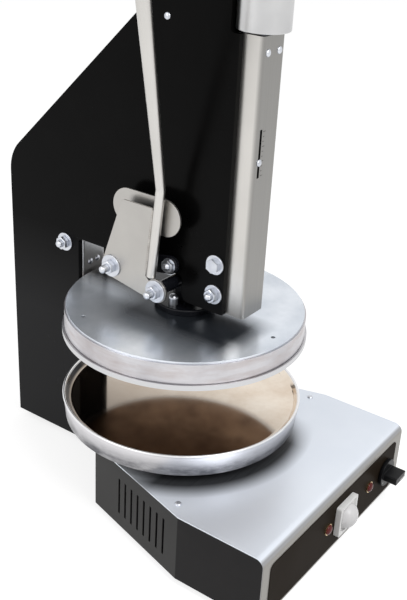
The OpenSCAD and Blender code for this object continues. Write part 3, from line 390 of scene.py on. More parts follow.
def add_bump(tree: Tree, shader: bpy.types.Node, height: Socket, strength: float,
             depth: float) -> None:
    """Drives the shader's normal from a height.

    Args:
        tree: The material's tree.
        shader: The Principled shader.
        height: The height's socket.
        strength: Strength of the bump.
        depth: Depth in metres.
    """
    bump = tree.add("ShaderNodeBump")
    bump.inputs["Strength"].default_value = strength
    bump.inputs["Distance"].default_value = depth
    tree.join(height, bump.inputs["Height"])
    tree.join(bump.outputs[0], shader.inputs["Normal"])


@dataclass(frozen=True)
class Bound:
    """A soft limit along a coordinate in metres: nothing up to its start, all where it is full."""

    along: Along
    start: float
    full: float

    def cover(self, tree: Tree, place: Socket) -> Socket:
        """Measures how far a place lies inside the bound.

        Args:
            tree: The material's tree.
            place: Socket of the object's own coordinates.

        Returns:
            The socket of a share: 0 up to the start and 1 where the bound is full.
        """
        if self.along is Along.RADIUS:
            value = tree.radius(place)
        else:
            value = tree.parts(place)[self.along.value]
        return tree.span(value, (self.start, self.full))


@dataclass(frozen=True)
class Zone:
    """Part of a surface that has another tone inside one or more bounds: a tone of its own, or
    painted shade, light or reflection.
    """

    colour: Colour
    bounds: tuple[Bound, ...]

    def over(self, tree: Tree, place: Socket, colour: Socket) -> Socket:
        """Lays the zone over a colour.

        Args:
            tree: The material's tree.
            place: Socket of the object's own coordinates.
            colour: Socket of the colour below it.

        Returns:
            The socket of the colour with the zone on it.
        """
        share = self.bounds[0].cover(tree, place)
        for bound in self.bounds[1:]:
            share = tree.maths("MULTIPLY", share, bound.cover(tree, place))
        return tree.blend(share, colour, self.colour)


@dataclass(frozen=True)
class Finish:
    """A finish with a name. Each kind says how its material is made."""

    name: str

    def material(self) -> bpy.types.Material:
        """Gives the material, made at its first use."""
        return bpy.data.materials.get(self.name) or self.make()

    def make(self) -> bpy.types.Material:
        """Makes the material."""
        raise NotImplementedError


@dataclass(frozen=True)
class MetalFinish(Finish):
    """Metal with a brushed grain and slow clouds."""

    bright: Colour
    dull: Colour
    roughness: float
    spread: float = 0.05
    grain: Grain = Grain.EVEN
    clouds: float = 14.0
    bump: float = 0.05
    streak: float = 0.16
    zones: tuple[Zone, ...] = ()
    metallic: float = 1.0

    def make(self) -> bpy.types.Material:
        """Makes the material.

        Returns:
            The material.
        """
        material, tree, shader, place = new_material(self.name)
        brushed = place_group(
            tree, EFFECTS.brushed, Place=place, Stretch=self.grain.value, Clouds=self.clouds)
        tone = tree.blend(brushed["Cloud"], self.bright, self.dull)
        for zone in self.zones:
            tone = zone.over(tree, place, tone)
        streak = tree.span(brushed["Grain"], STREAK_SPAN, (0.0, self.streak))
        tree.join(tree.blend(streak, tone, self.dull), shader.inputs["Base Color"])
        ends = (self.roughness - self.spread, self.roughness + self.spread)
        tree.join(tree.span(brushed["Grain"], GRAIN_SPAN, ends), shader.inputs["Roughness"])
        shader.inputs["Metallic"].default_value = self.metallic
        add_bump(tree, shader, brushed["Grain"], self.bump, GRAIN_DEPTH)
        return material


@dataclass(frozen=True)
class CoatFinish(Finish):
    """Powder coat, paint or plastic: orange peel, a slow change of tone and thin dust."""

    colour: Colour
    worn: Colour
    roughness: float
    gloss: float
    fineness: float = 1500.0
    bump: float = 0.08
    zones: tuple[Zone, ...] = ()
    dust_scale: float = 22.0
    smoother: float = 0.05
    rougher: float = 0.07

    def make(self) -> bpy.types.Material:
        """Makes the material.

        Returns:
            The material.
        """
        material, tree, shader, place = new_material(self.name)
        peel = place_group(tree, EFFECTS.orange_peel, Place=place, Fineness=self.fineness)
        dusty = place_group(tree, EFFECTS.stain, Place=place, Scale=self.dust_scale, Cover=0.0)
        share = tree.maths("MULTIPLY", dusty["Mask"], peel["Tone"])
        tone = tree.blend(share, self.colour, self.worn)
        for zone in self.zones:
            tone = zone.over(tree, place, tone)
        tree.join(tone, shader.inputs["Base Color"])
        ends = (self.roughness - self.smoother, self.roughness + self.rougher)
        tree.join(tree.span(peel["Tone"], TONE_SPAN, ends), shader.inputs["Roughness"])
        shader.inputs["Specular IOR Level"].default_value = self.gloss
        add_bump(tree, shader, peel["Height"], self.bump, PEEL_DEPTH)
        return material


@dataclass(frozen=True)
class ClearFinish(Finish):
    """Milky silicone or a coloured lens."""

    colour: Colour
    deep: Colour
    roughness: float
    through: float
    gloss: float = 0.5
    ior: float = 1.42
    fineness: float = 700.0
    rougher: float = 0.06

    def make(self) -> bpy.types.Material:
        """Makes the material.

        Returns:
            The material.
        """
        material, tree, shader, place = new_material(self.name)
        tone = place_group(tree, EFFECTS.orange_peel, Place=place, Fineness=self.fineness)["Tone"]
        tree.join(tree.blend(tone, self.colour, self.deep), shader.inputs["Base Color"])
        ends = (self.roughness, self.roughness + self.rougher)
        tree.join(tree.span(tone, TONE_SPAN, ends), shader.inputs["Roughness"])
        shader.inputs["Transmission Weight"].default_value = self.through
        shader.inputs["Specular IOR Level"].default_value = self.gloss
        shader.inputs["IOR"].default_value = self.ior
        return material


@dataclass(frozen=True)
class PanFinish(Finish):
    """Spun pan: polished warm inside, brushed wall with dark oxide low on the outside."""

    bright: Colour = (0.80, 0.79, 0.80)
    dull: Colour = (0.58, 0.57, 0.59)
    streak: float = 0.35
    clouds: float = 20.0
    wall_roughness: Pair = (0.24, 0.36)
    oxide: Colour = (0.11, 0.11, 0.12)
    oxide_span: Pair = (0.136, 0.119)
    oxide_stretch: Triple = (1.0, 1.0, 2.5)
    oxide_scale: float = 24.0
    oxide_cover: float = 0.40
    rim: Colour = (0.82, 0.82, 0.83)
    rim_bound: Bound = Bound(Along.Z, 0.1400, 0.1415)
    tint: Colour = (0.84, 0.76, 0.66)
    tan: Colour = (0.62, 0.48, 0.36)
    tan_scale: float = 16.0
    tan_cover: float = 0.10
    inside_roughness: Pair = (0.07, 0.14)
    # Where the inside ends: height of the wall's foot, radii there, widening per metre of rise
    foot_z: float = 0.111
    inside_span: Pair = (0.1606, 0.1610)
    taper: float = 0.0936
    # Painted reflection of the black frame: the inside is darker to the left, and darkest on its
    # wall there
    painted_reflections: tuple[Zone, ...] = (
        Zone((0.24, 0.20, 0.165), (Bound(Along.X, 0.0700, -0.1000),)),
        Zone((0.020, 0.020, 0.021), (
            Bound(Along.RADIUS, 0.1555, 0.1580), Bound(Along.X, 0.0300, -0.0400),
        )),
    )

    def make(self) -> bpy.types.Material:
        """Makes the material: polished inside, brushed outside with oxide, and a clean rim.

        Returns:
            The material.
        """
        material, tree, shader, place = new_material(self.name)
        height = tree.parts(place)[Along.Z.value]
        radius = tree.radius(place)
        rings = tree.add("ShaderNodeCombineXYZ")
        tree.join(radius, rings.inputs[Along.X.value])
        tree.join(height, rings.inputs[Along.Z.value])
        spun = place_group(tree, EFFECTS.brushed, Place=rings.outputs[0],
                           Stretch=Grain.EVEN.value, Clouds=self.clouds)
        blot = place_group(
            tree, EFFECTS.stain, Place=place, Scale=self.tan_scale, Cover=self.tan_cover)["Mask"]
        worn = place_group(tree, EFFECTS.stain, Place=tree.scaled(place, self.oxide_stretch),
                           Scale=self.oxide_scale, Cover=self.oxide_cover)["Mask"]
        metal = tree.blend(spun["Cloud"], self.bright, self.dull)
        streak = tree.span(spun["Grain"], STREAK_SPAN, (0.0, self.streak))
        metal = tree.blend(streak, metal, self.dull)
        low = tree.span(height, self.oxide_span)
        metal = tree.blend(tree.maths("MULTIPLY", low, worn), metal, self.oxide)
        drift = tree.maths("MULTIPLY", tree.maths("SUBTRACT", height, self.foot_z), self.taper)
        straight = tree.maths("SUBTRACT", radius, drift)
        inside = tree.span(straight, self.inside_span, (1.0, 0.0))
        polished = tree.blend(blot, self.tint, self.tan)
        for shade in self.painted_reflections:
            polished = shade.over(tree, place, polished)
        tone = tree.blend(inside, metal, polished)
        tone = Zone(self.rim, (self.rim_bound,)).over(tree, place, tone)
        tree.join(tone, shader.inputs["Base Color"])
        mirror = tree.add("ShaderNodeMix", data_type="FLOAT")
        brushed, bare = (mirror.inputs[place] for place in MIX_NUMBERS)
        tree.join(inside, mirror.inputs[MIX_SHARE])
        tree.join(tree.span(spun["Grain"], GRAIN_SPAN, self.wall_roughness), brushed)
        tree.join(tree.span(blot, (0.0, 1.0), self.inside_roughness), bare)
        tree.join(mirror.outputs[0], shader.inputs["Roughness"])
        shader.inputs["Metallic"].default_value = 1.0
        return material


@dataclass(frozen=True)
class RingFinish(Finish):
    """Cast ring turned bright, with faint brown stains and a clean lip."""

    bright: Colour = (0.66, 0.65, 0.67)
    dull: Colour = (0.48, 0.47, 0.49)
    streak: float = 0.3
    clouds: float = 18.0
    roughness: Pair = (0.32, 0.44)
    bump: float = 0.06
    stain: Colour = (0.36, 0.28, 0.25)
    stain_stretch: Triple = (1.0, 1.0, 5.0)
    stain_scale: float = 15.0
    stain_cover: float = 0.02
    lip: Colour = (0.60, 0.60, 0.61)
    lip_bound: Bound = Bound(Along.Z, 0.2462, 0.2456)

    def make(self) -> bpy.types.Material:
        """Makes the material.

        Returns:
            The material.
        """
        material, tree, shader, place = new_material(self.name)
        turned = place_group(
            tree, EFFECTS.brushed, Place=place, Stretch=Grain.ROUND_Z.value, Clouds=self.clouds)
        blot = place_group(tree, EFFECTS.stain, Place=tree.scaled(place, self.stain_stretch),
                           Scale=self.stain_scale, Cover=self.stain_cover)["Mask"]
        metal = tree.blend(turned["Cloud"], self.bright, self.dull)
        streak = tree.span(turned["Grain"], STREAK_SPAN, (0.0, self.streak))
        metal = tree.blend(streak, metal, self.dull)
        metal = tree.blend(blot, metal, self.stain)
        metal = Zone(self.lip, (self.lip_bound,)).over(tree, place, metal)
        tree.join(metal, shader.inputs["Base Color"])
        rough = tree.span(turned["Grain"], GRAIN_SPAN, self.roughness)
        tree.join(rough, shader.inputs["Roughness"])
        shader.inputs["Metallic"].default_value = 1.0
        add_bump(tree, shader, turned["Grain"], self.bump, GRAIN_DEPTH)
        return material


# Painted shade and painted reflections on the steel, where it bends or faces something dark. They
# lie on the surface itself.
# Painted reflection: a dark band along the base cover's front fold
FOLD_SHADE = Zone((0.34, 0.34, 0.35), (Bound(Along.Y, -0.2540, -0.2572),))
# Painted shade: the cover's front face below the fold is darker than its top
FRONT_FACE_SHADE = Zone((0.29, 0.275, 0.25), (Bound(Along.Y, -0.2586, -0.2596),))
# Painted shade: a dark band on the base's top in front of the pan
PAN_SHADE = Zone((0.045, 0.047, 0.052), (
    Bound(Along.RADIUS, 0.1900, 0.1640),
    Bound(Along.X, 0.1050, 0.0400), Bound(Along.Y, -0.0200, -0.0700),
))
# Painted shade: the nose's front face is darker than its sides
NOSE_FRONT_SHADE = Zone((0.26, 0.255, 0.245), (Bound(Along.Y, -0.1000, -0.1052),))
# Painted shade on the bracket's back flange, just above the cheek's top edge
CHEEK_SHADE = Zone((0.15, 0.155, 0.17), (
    Bound(Along.X, -0.0600, -0.0570), Bound(Along.Z, 0.4330, 0.4190),
    Bound(Along.Y, 0.0580, 0.0480), Bound(Along.Y, -0.0020, 0.0080),
))
# Painted reflection of the black frame plates: a dark strip on the disc under them
FRAME_SHADE = Zone((0.040, 0.047, 0.058), (
    Bound(Along.X, -0.1400, -0.0620), Bound(Along.X, 0.0300, -0.0050),
    Bound(Along.Y, -0.1350, -0.1050), Bound(Along.Y, 0.1100, 0.0400),
))
# Painted shade on the disc behind the hub, between the frame plates
THROAT_SHADE = Zone((0.010, 0.011, 0.013), (
    Bound(Along.X, -0.0450, -0.0100), Bound(Along.X, 0.0600, 0.0520),
    Bound(Along.Y, 0.0300, 0.0500),
))
# Painted light on the black coats: the lower column is paler as a painted reflection, and the
# base's sides and rear behind the bend are paler as painted light
# Painted reflection: the lower part of the column is paler
LOWER_COLUMN_SHEEN = Zone((0.024, 0.024, 0.025), (Bound(Along.Z, 0.34, 0.20),))
# Painted light: the base's tapered sides and rear are paler than its front sides
TAPERED_SIDE_LIGHT = Zone((0.042, 0.041, 0.040), (Bound(Along.Y, -0.1350, -0.1330),))

STEEL_TOP = MetalFinish(
    "base_top_stainless", bright=(0.86, 0.905, 0.975), dull=(0.79, 0.84, 0.92), roughness=0.37,
    spread=0.03, grain=Grain.ALONG_X, clouds=6.0, bump=0.01, streak=0.06,
    zones=(PAN_SHADE, FOLD_SHADE, FRONT_FACE_SHADE), metallic=0.5,
)
STEEL_COLUMN = MetalFinish(
    "column_stainless", bright=(0.62, 0.61, 0.59), dull=(0.50, 0.49, 0.48), roughness=0.30,
    grain=Grain.ALONG_Z, clouds=9.0,
)
STEEL_NOSE = MetalFinish(
    "nose_stainless", bright=(0.64, 0.62, 0.59), dull=(0.55, 0.535, 0.51), roughness=0.32,
    grain=Grain.ALONG_Z, clouds=8.0, bump=0.04, streak=0.14, zones=(NOSE_FRONT_SHADE,),
)
STEEL_PLAIN = MetalFinish(
    "bracket_stainless", bright=(0.49, 0.475, 0.45), dull=(0.43, 0.415, 0.395), roughness=0.36,
    grain=Grain.ALONG_Y, clouds=12.0, bump=0.04, streak=0.12, zones=(CHEEK_SHADE,),
)
STEEL_ROD = MetalFinish(
    "rod_stainless", bright=(0.64, 0.625, 0.60), dull=(0.56, 0.545, 0.52), roughness=0.32,
    grain=Grain.ALONG_Z, clouds=9.0,
)
STEEL_DISC = MetalFinish(
    "disc_stainless", bright=(0.88, 0.92, 0.98), dull=(0.62, 0.67, 0.74), roughness=0.27,
    spread=0.002, grain=Grain.ALONG_Y, clouds=15.0, bump=0.0, streak=0.0,
    zones=(FRAME_SHADE, THROAT_SHADE), metallic=0.65,
)
ZINC = MetalFinish(
    "bright_zinc", bright=(0.68, 0.70, 0.74), dull=(0.54, 0.56, 0.61), roughness=0.30,
    spread=0.04, clouds=60.0, bump=0.0, streak=0.06,
)
DARK_STEEL = MetalFinish(
    "oiled_steel", bright=(0.16, 0.16, 0.17), dull=(0.10, 0.10, 0.11), roughness=0.36,
    spread=0.08, clouds=20.0, bump=0.08,
)
BRONZE = MetalFinish(
    "turned_bronze", bright=(0.62, 0.47, 0.27), dull=(0.50, 0.37, 0.20), roughness=0.34)
GOLDEN = MetalFinish(
    "golden_ring", bright=(0.74, 0.56, 0.30), dull=(0.58, 0.42, 0.22), roughness=0.25)
KNOB_ALLOY = MetalFinish(
    "knob_turned_alloy", bright=(0.66, 0.66, 0.66), dull=(0.53, 0.53, 0.535), roughness=0.32,
    grain=Grain.ROUND_Z, clouds=12.0,
)
PRESS_ALLOY = MetalFinish(
    "press_face_alloy", bright=(0.33, 0.225, 0.155), dull=(0.12, 0.072, 0.046), roughness=0.42,
    spread=0.08, clouds=24.0,
)
WELD = MetalFinish(
    "weld_bead", bright=(0.52, 0.50, 0.47), dull=(0.36, 0.34, 0.31), roughness=0.34,
    spread=0.06, clouds=90.0, bump=0.10,
)
PAN_ALLOY = PanFinish("pan_spun_alloy")
RING_ALLOY = RingFinish("housing_turned_alloy")
BLACK_COAT = CoatFinish(
    "frame_powder_coat", colour=(0.0022, 0.0021, 0.0021), worn=(0.0055, 0.0053, 0.0051),
    roughness=0.22, gloss=0.055, bump=0.04, zones=(LOWER_COLUMN_SHEEN,),
)
BLACK_FITTING = CoatFinish(
    "fitting_black_coat", colour=(0.006, 0.0065, 0.009), worn=(0.018, 0.019, 0.024),
    roughness=0.26, gloss=0.22,
)
SIDE_COAT = CoatFinish(
    "side_powder_coat", colour=(0.017, 0.016, 0.0165), worn=(0.028, 0.026, 0.026),
    roughness=0.40, gloss=0.10, bump=0.10, zones=(TAPERED_SIDE_LIGHT,),
)
LABEL_FILM = CoatFinish(
    "label_film", colour=(0.020, 0.0145, 0.0100), worn=(0.032, 0.0245, 0.0185),
    roughness=0.36, gloss=0.008, fineness=2600.0, bump=0.03,
)
RUBBER = CoatFinish(
    "black_rubber", colour=(0.018, 0.018, 0.018), worn=(0.04, 0.04, 0.04),
    roughness=0.65, gloss=0.3, fineness=900.0, bump=0.25,
)
BLACK_PLASTIC = CoatFinish(
    "moulded_black", colour=(0.0050, 0.0052, 0.0060), worn=(0.012, 0.012, 0.013),
    roughness=0.28, gloss=0.16, fineness=2200.0, bump=0.06,
)
PALE_PLASTIC = CoatFinish(
    "pale_plastic", colour=(0.62, 0.60, 0.55), worn=(0.50, 0.47, 0.42),
    roughness=0.5, gloss=0.4, fineness=900.0, bump=0.15,
)
WHITE_PLASTIC = CoatFinish(
    "moulded_white", colour=(0.86, 0.86, 0.85), worn=(0.78, 0.78, 0.76),
    roughness=0.35, gloss=0.4, fineness=1800.0, bump=0.04,
)
MARK_WHITE = CoatFinish(
    "mark_white", colour=(0.82, 0.82, 0.80), worn=(0.70, 0.70, 0.68),
    roughness=0.5, gloss=0.3, fineness=2600.0, bump=0.03,
)
MARK_DARK = CoatFinish(
    "mark_etched", colour=(0.07, 0.068, 0.065), worn=(0.14, 0.135, 0.13),
    roughness=0.5, gloss=0.3, fineness=2600.0, bump=0.03,
)
CLEAR_BOOT = ClearFinish(
    "milky_silicone", colour=(0.93, 0.92, 0.92), deep=(0.87, 0.86, 0.87),
    roughness=0.18, through=0.22,
)
RED_LENS = ClearFinish(
    "tinted_red", colour=(0.17, 0.022, 0.019), deep=(0.085, 0.010, 0.009),
    roughness=0.20, through=0.10, gloss=0.25,
)


def body_of(node: str) -> str:
    """Names the body that a node rides on."""
    bodies = frame["record"]["behaviour"]["bodies"]
    return next(body for body, nodes in bodies.items() if node in nodes)


def slot_of(node: str) -> str:
    """Names the record's material slot of a node."""
    parts = frame["record"]["subparts"]
    return next(part["material_slot"] for part in parts if part["node"] == node)


def show(mesh: bpy.types.Mesh) -> bpy.types.Object:
    """Puts a mesh into the scene as an object of the same name.

    Args:
        mesh: The mesh.

    Returns:
        The new object.
    """
    made = bpy.data.objects.new(mesh.name, mesh)
    bpy.context.scene.collection.objects.link(made)
    return made


def smooth(mesh: bpy.types.Mesh) -> None:
    """Shades every face of a mesh smooth."""
    mesh.polygons.foreach_set("use_smooth", np.ones(len(mesh.polygons), dtype=bool))


def add_piece(name: str, vertices: np.ndarray, faces: list[list[int]], finish: Finish,
              body: str, slot: str, sharp: float = PLAIN_SHARP) -> bpy.types.Object:
    """Makes a mesh piece that rides on a body.

    Args:
        name: The piece's name.
        vertices: Points in metres, in the part's frame.
        faces: Corner numbers of each face.
        finish: The piece's finish.
        body: The body it moves with.
        slot: The record's material slot; not used.
        sharp: Angle in degrees past which an edge is shown sharp.

    Returns:
        The new object.
    """
    mesh = bpy.data.meshes.new(name)
    mesh.from_pydata(vertices.tolist(), [], faces)
    smooth(mesh)
    mesh.set_sharp_from_angle(angle=math.radians(sharp))
    mesh.materials.append(finish.material())
    mesh.update()
    piece = show(mesh)
    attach(piece, body)
    log.info("%s: %d faces on %s", name, len(mesh.polygons), body)
    return piece


def ring_faces(rows: int, columns: int, joined: bool, flip: bool = False) -> list[list[int]]:
    """Joins the points of stacked rings into four-cornered faces.

    Args:
        rows: Number of rings.
        columns: Points on each ring, which closes on itself.
        joined: Whether the last ring is joined to the first; otherwise each end gets a flat face.
        flip: Whether the faces are turned round.

    Returns:
        The corner numbers of each face.
    """
    row = np.arange(rows if joined else rows - 1)[:, None]
    column = np.arange(columns)[None, :]
    here, ahead = row * columns, (row + 1) % rows * columns
    right = (column + 1) % columns
    corners = (here + column, here + right, ahead + right, ahead + column)
    faces = np.stack(np.broadcast_arrays(*corners), axis=-1).reshape(-1, 4).tolist()
    if not joined:
        faces.append(list(range(columns))[::-1])
        faces.append(list(range((rows - 1) * columns, rows * columns)))
    return [face[::-1] for face in faces] if flip else faces


def stack(pieces: Sequence[MeshData]) -> MeshData:
    """Puts several meshes into one.

    Args:
        pieces: Points and faces of each mesh.

    Returns:
        All points, and all faces with their corner numbers moved on.
    """
    starts = np.cumsum([0] + [len(points) for points, _ in pieces[:-1]]).tolist()
    faces = [
        [corner + start for corner in face]
        for start, (_, some) in zip(starts, pieces) for face in some
    ]
    return np.concatenate([points for points, _ in pieces]), faces


def solid_boxes(node: str) -> np.ndarray:
    """Finds the box of each separate solid of a node.

    Points that agree to a micrometre are one point, and every triangle gives its three points
    the lowest of their labels until no label changes.

    Args:
        node: The node's name.

    Returns:
        Lowest and highest corner of each solid, shape (solids, 2, 3).
    """
    mesh = frame["nodes"][node].data
    points = np.empty(len(mesh.vertices) * 3)
    mesh.vertices.foreach_get("co", points)
    corners = np.empty(len(mesh.loops), dtype=np.int64)
    mesh.loops.foreach_get("vertex_index", corners)
    rounded = points.reshape(-1, 3).round(MICRON_PLACES)
    places, same = np.unique(rounded, axis=0, return_inverse=True)
    triangles = same.reshape(-1)[corners].reshape(-1, 3)
    labels = np.arange(len(places))
    while True:
        lowest = labels[triangles].min(axis=1)
        before = labels.copy()
        np.minimum.at(labels, triangles.ravel(), np.repeat(lowest, 3))
        if np.array_equal(before, labels):
            break
    groups = [places[labels == label] for label in np.unique(labels)]
    return np.array([(group.min(axis=0), group.max(axis=0)) for group in groups])


def soften(node: str, finish: Finish, width: float, segments: int = 2) -> None:
    """Shows a node with rounded edges: a merged copy of its mesh with a bevel on sharp edges.

    Args:
        node: The node's name.
        finish: The copy's finish.
        width: Width of the bevel in metres.
        segments: Steps across the bevel.
    """
    mesh = frame["nodes"][node].data.copy()
    mesh.name = f"{node}_rounded"
    shape = bmesh.new()
    shape.from_mesh(mesh)
    bmesh.ops.remove_doubles(shape, verts=shape.verts, dist=MERGE_WITHIN)
    bmesh.ops.dissolve_limit(
        shape, angle_limit=math.radians(FLAT_WITHIN), verts=shape.verts, edges=shape.edges)
    shape.to_mesh(mesh)
    shape.free()
    smooth(mesh)
    mesh.materials.clear()
    mesh.materials.append(finish.material())
    mesh.update()
    piece = show(mesh)
    bevel = piece.modifiers.new("edges", "BEVEL")
    bevel.width = width
    bevel.segments = segments
    bevel.limit_method = "ANGLE"
    bevel.angle_limit = math.radians(BEVEL_PAST)
    flat = piece.modifiers.new("flat_faces", "WEIGHTED_NORMAL")
    flat.weight = FACE_WEIGHT
    flat.keep_sharp = True
    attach(piece, body_of(node))
    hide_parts(node)
    log.info("%s stands for %s", piece.name, node)


@dataclass(frozen=True)
class HexNut:
    """A hexagon nut along X with chamfered corners and a chamfered bore."""

    columns: int = 48
    face_share: float = 0.96
    slope: float = math.tan(math.radians(30.0))
    bore_chamfer: float = 0.6 * MM

    def mesh(self, box: np.ndarray, bore: float) -> MeshData:
        """Works out one nut.

        With the turn t from the upper corner, the outside is R(t) = a / cos((t mod 60) - 30),
        where a is half the width over the flats. The ends are flat out to c = 0.96 a, and from
        there they fall to the outside by (R - c) tan 30. The rings go round the section: bore,
        end, chamfer, outside, chamfer, end, bore.

        Args:
            box: Lowest and highest corner of the plain nut.
            bore: Radius of the bore.

        Returns:
            The nut's points and faces.
        """
        turn = np.linspace(0.0, FULL_TURN, self.columns, endpoint=False)
        middle = box.mean(axis=0)
        flat = (box[1, 1] - box[0, 1]) / 2.0
        outside = flat / np.cos(np.mod(turn, np.pi / 3.0) - np.pi / 6.0)
        round_face = np.full_like(turn, flat * self.face_share)
        fall = np.maximum(outside - round_face, 0.0) * self.slope
        near, far = np.full_like(turn, box[0, 0]), np.full_like(turn, box[1, 0])
        step = self.bore_chamfer
        wall, wide = np.full_like(turn, bore), np.full_like(turn, bore + step)
        along = np.stack((near + step, near, near, near + fall, far - fall, far, far, far - step))
        radius = np.stack((wall, wide, round_face, outside, outside, round_face, wide, wall))
        sideways, upward = radius * np.sin(turn), radius * np.cos(turn)
        points = np.stack((along, middle[1] + sideways, middle[2] + upward), axis=-1)
        return points.reshape(-1, 3), ring_faces(len(along), self.columns, joined=True)


@dataclass(frozen=True)
class ThreadedEnd:
    """A metric thread on a bolt's end, along X."""

    pitch: float = 1.5 * MM
    crest: float = 0.14 * MM
    root: float = 0.12 * MM
    columns: int = 24
    rows_per_turn: int = 8
    fewest_rows: int = 4

    def mesh(self, start: Sequence[float], end_x: float, radius: float) -> MeshData:
        """Works out one thread.

        At the length s and the turn t the radius is
        r - root + (crest + root) (1 - |2 frac(s / pitch - t) - 1|), so the ridge climbs one
        pitch in each turn. It fades to the root over half a pitch at both ends.

        Args:
            start: Point on the axis where the thread starts.
            end_x: Where it ends along X.
            radius: Radius of the bolt.

        Returns:
            The thread's points and faces.
        """
        length = end_x - start[0]
        rows = max(self.fewest_rows, int(round(abs(length) / self.pitch * self.rows_per_turn)))
        height = np.linspace(0.0, abs(length), rows)[:, None]
        turn = np.linspace(0.0, 1.0, self.columns, endpoint=False)[None, :]
        wave = 1.0 - np.abs(2.0 * np.mod(height / self.pitch - turn, 1.0) - 1.0)
        to_end = np.minimum(height, abs(length) - height)
        fade = np.clip(to_end / (0.5 * self.pitch), 0.0, 1.0)
        ridge = radius - self.root + (self.crest + self.root) * wave * fade
        sideways, upward = ridge * np.sin(FULL_TURN * turn), ridge * np.cos(FULL_TURN * turn)
        along = start[0] + np.sign(length) * height + np.zeros_like(turn)
        points = np.stack((along, start[1] + sideways, start[2] + upward), axis=-1)
        faces = ring_faces(rows, self.columns, joined=False, flip=length < 0.0)
        return points.reshape(-1, 3), faces


@dataclass(frozen=True)
class CoilSpring:
    """A wound spring round the press axis."""

    wire_r: float = 1.9 * MM
    end_gap: float = 0.3 * MM
    turns: int = 12
    rings_per_turn: int = 24
    columns: int = 12

    def mesh(self, coil_r: float, low: float, high: float) -> MeshData:
        """Works out the wire.

        At the turn a the wire's middle is (R cos a, R sin a, z0 + h a), with h the rise in a
        radian. The section is a circle in the plane through the axis, w (cos t e_r + sin t e_z).
        Both ends are flat.

        Args:
            coil_r: Radius of the coil to the wire's middle.
            low: Height of the seat under the spring.
            high: Height of the seat above it.

        Returns:
            The spring's points and faces.
        """
        rows = self.turns * self.rings_per_turn + 1
        inset = self.wire_r + self.end_gap
        turn = np.linspace(0.0, FULL_TURN * self.turns, rows)[:, None]
        height = np.linspace(low + inset, high - inset, rows)[:, None]
        around = np.linspace(0.0, FULL_TURN, self.columns, endpoint=False)[None, :]
        reach = coil_r + self.wire_r * np.cos(around)
        upward = height + self.wire_r * np.sin(around)
        points = np.stack((reach * np.cos(turn), reach * np.sin(turn), upward), axis=-1)
        return points.reshape(-1, 3), ring_faces(rows, self.columns, joined=False, flip=True)


@dataclass(frozen=True)
class Tile:
    """A thin raised mark with sloping sides, on a face that looks to -Y."""

    proud: float = 0.12 * MM
    sunk: float = 0.10 * MM
    slope: float = 0.12 * MM

    def mesh(self, middle: Sequence[float], half: Sequence[float]) -> MeshData:
        """Works out one mark.

        Three rings of four corners: the foot inside the face, the edge on the face, and the
        raised top, drawn in by the slope.

        Args:
            middle: Middle of the mark on the face.
            half: Half width along X and half height along Z.

        Returns:
            The mark's points and faces.
        """
        corner = np.array(((-1.0, -1.0), (1.0, -1.0), (1.0, 1.0), (-1.0, 1.0)))
        drawn_in = np.array((0.0, 0.0, self.slope))[:, None, None]
        out = np.array((-self.sunk, 0.0, self.proud))[:, None]
        flat = corner[None] * (np.asarray(half)[None, None] - drawn_in)
        depth = np.broadcast_to(middle[1] - out, flat.shape[:2])
        points = np.stack((middle[0] + flat[..., 0], depth, middle[2] + flat[..., 1]), axis=-1)
        return points.reshape(-1, 3), ring_faces(len(out), len(corner), joined=False)


@dataclass
class Assembly:
    """A sub-assembly: the finishes of its solids, and its own fine pieces."""

    def finishes(self) -> dict[Finish, str]:
        """Names the nodes that wear each finish."""
        raise NotImplementedError

    def dress(self) -> None:
        """Gives every node of the sub-assembly its finish."""
        for finish, names in self.finishes().items():
            for name in names.split():
                node = frame["nodes"][name]
                node.data.materials.clear()
                node.data.materials.append(finish.material())
                log.info("%s wears %s", name, finish.name)

    def build(self) -> None:
        """Makes the sub-assembly's fine pieces, where it has any."""


@dataclass
class BoltedAssembly(Assembly):
    """A sub-assembly that is held by bolts along X with nuts on them."""

    bolt_r: float = 5.0 * MM
    dome: float = 3.0 * MM

    def nuts_and_threads(self, nut_node: str, bolt_node: str) -> None:
        """Shows chamfered nuts, and threads on the bolt ends that stand out of them.

        The tip of a bolt's left end is domed and stays plain.

        Args:
            nut_node: Node of the nuts.
            bolt_node: Node of the bolts.
        """
        nuts, bolts = solid_boxes(nut_node), solid_boxes(bolt_node)
        made = stack([HexNut().mesh(box, self.bolt_r) for box in nuts])
        piece = add_piece(f"{nut_node}_chamfered", *made, ZINC, body_of(nut_node),
                          slot_of(nut_node), NUT_SHARP)
        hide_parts(nut_node)
        thread, threads = ThreadedEnd(), []
        for box in nuts:
            middle = box.mean(axis=0)
            apart = np.abs(bolts.mean(axis=1)[:, 1:] - middle[1:]).max(axis=1)
            bolt = bolts[int(np.argmin(apart))]
            side = Side.LEFT if middle[0] < 0.0 else Side.RIGHT
            face = box[0, 0] if side is Side.LEFT else box[1, 0]
            tip = bolt[0, 0] + self.dome if side is Side.LEFT else bolt[1, 0]
            if (tip - face) * side.value > thread.pitch:
                start = (face - side.value * thread.pitch, *middle[1:])
                threads.append(thread.mesh(start, tip, self.bolt_r))
        if threads:
            add_piece(f"{bolt_node}_threads", *stack(threads), ZINC, body_of(bolt_node),
                      slot_of(bolt_node), WIRE_SHARP)


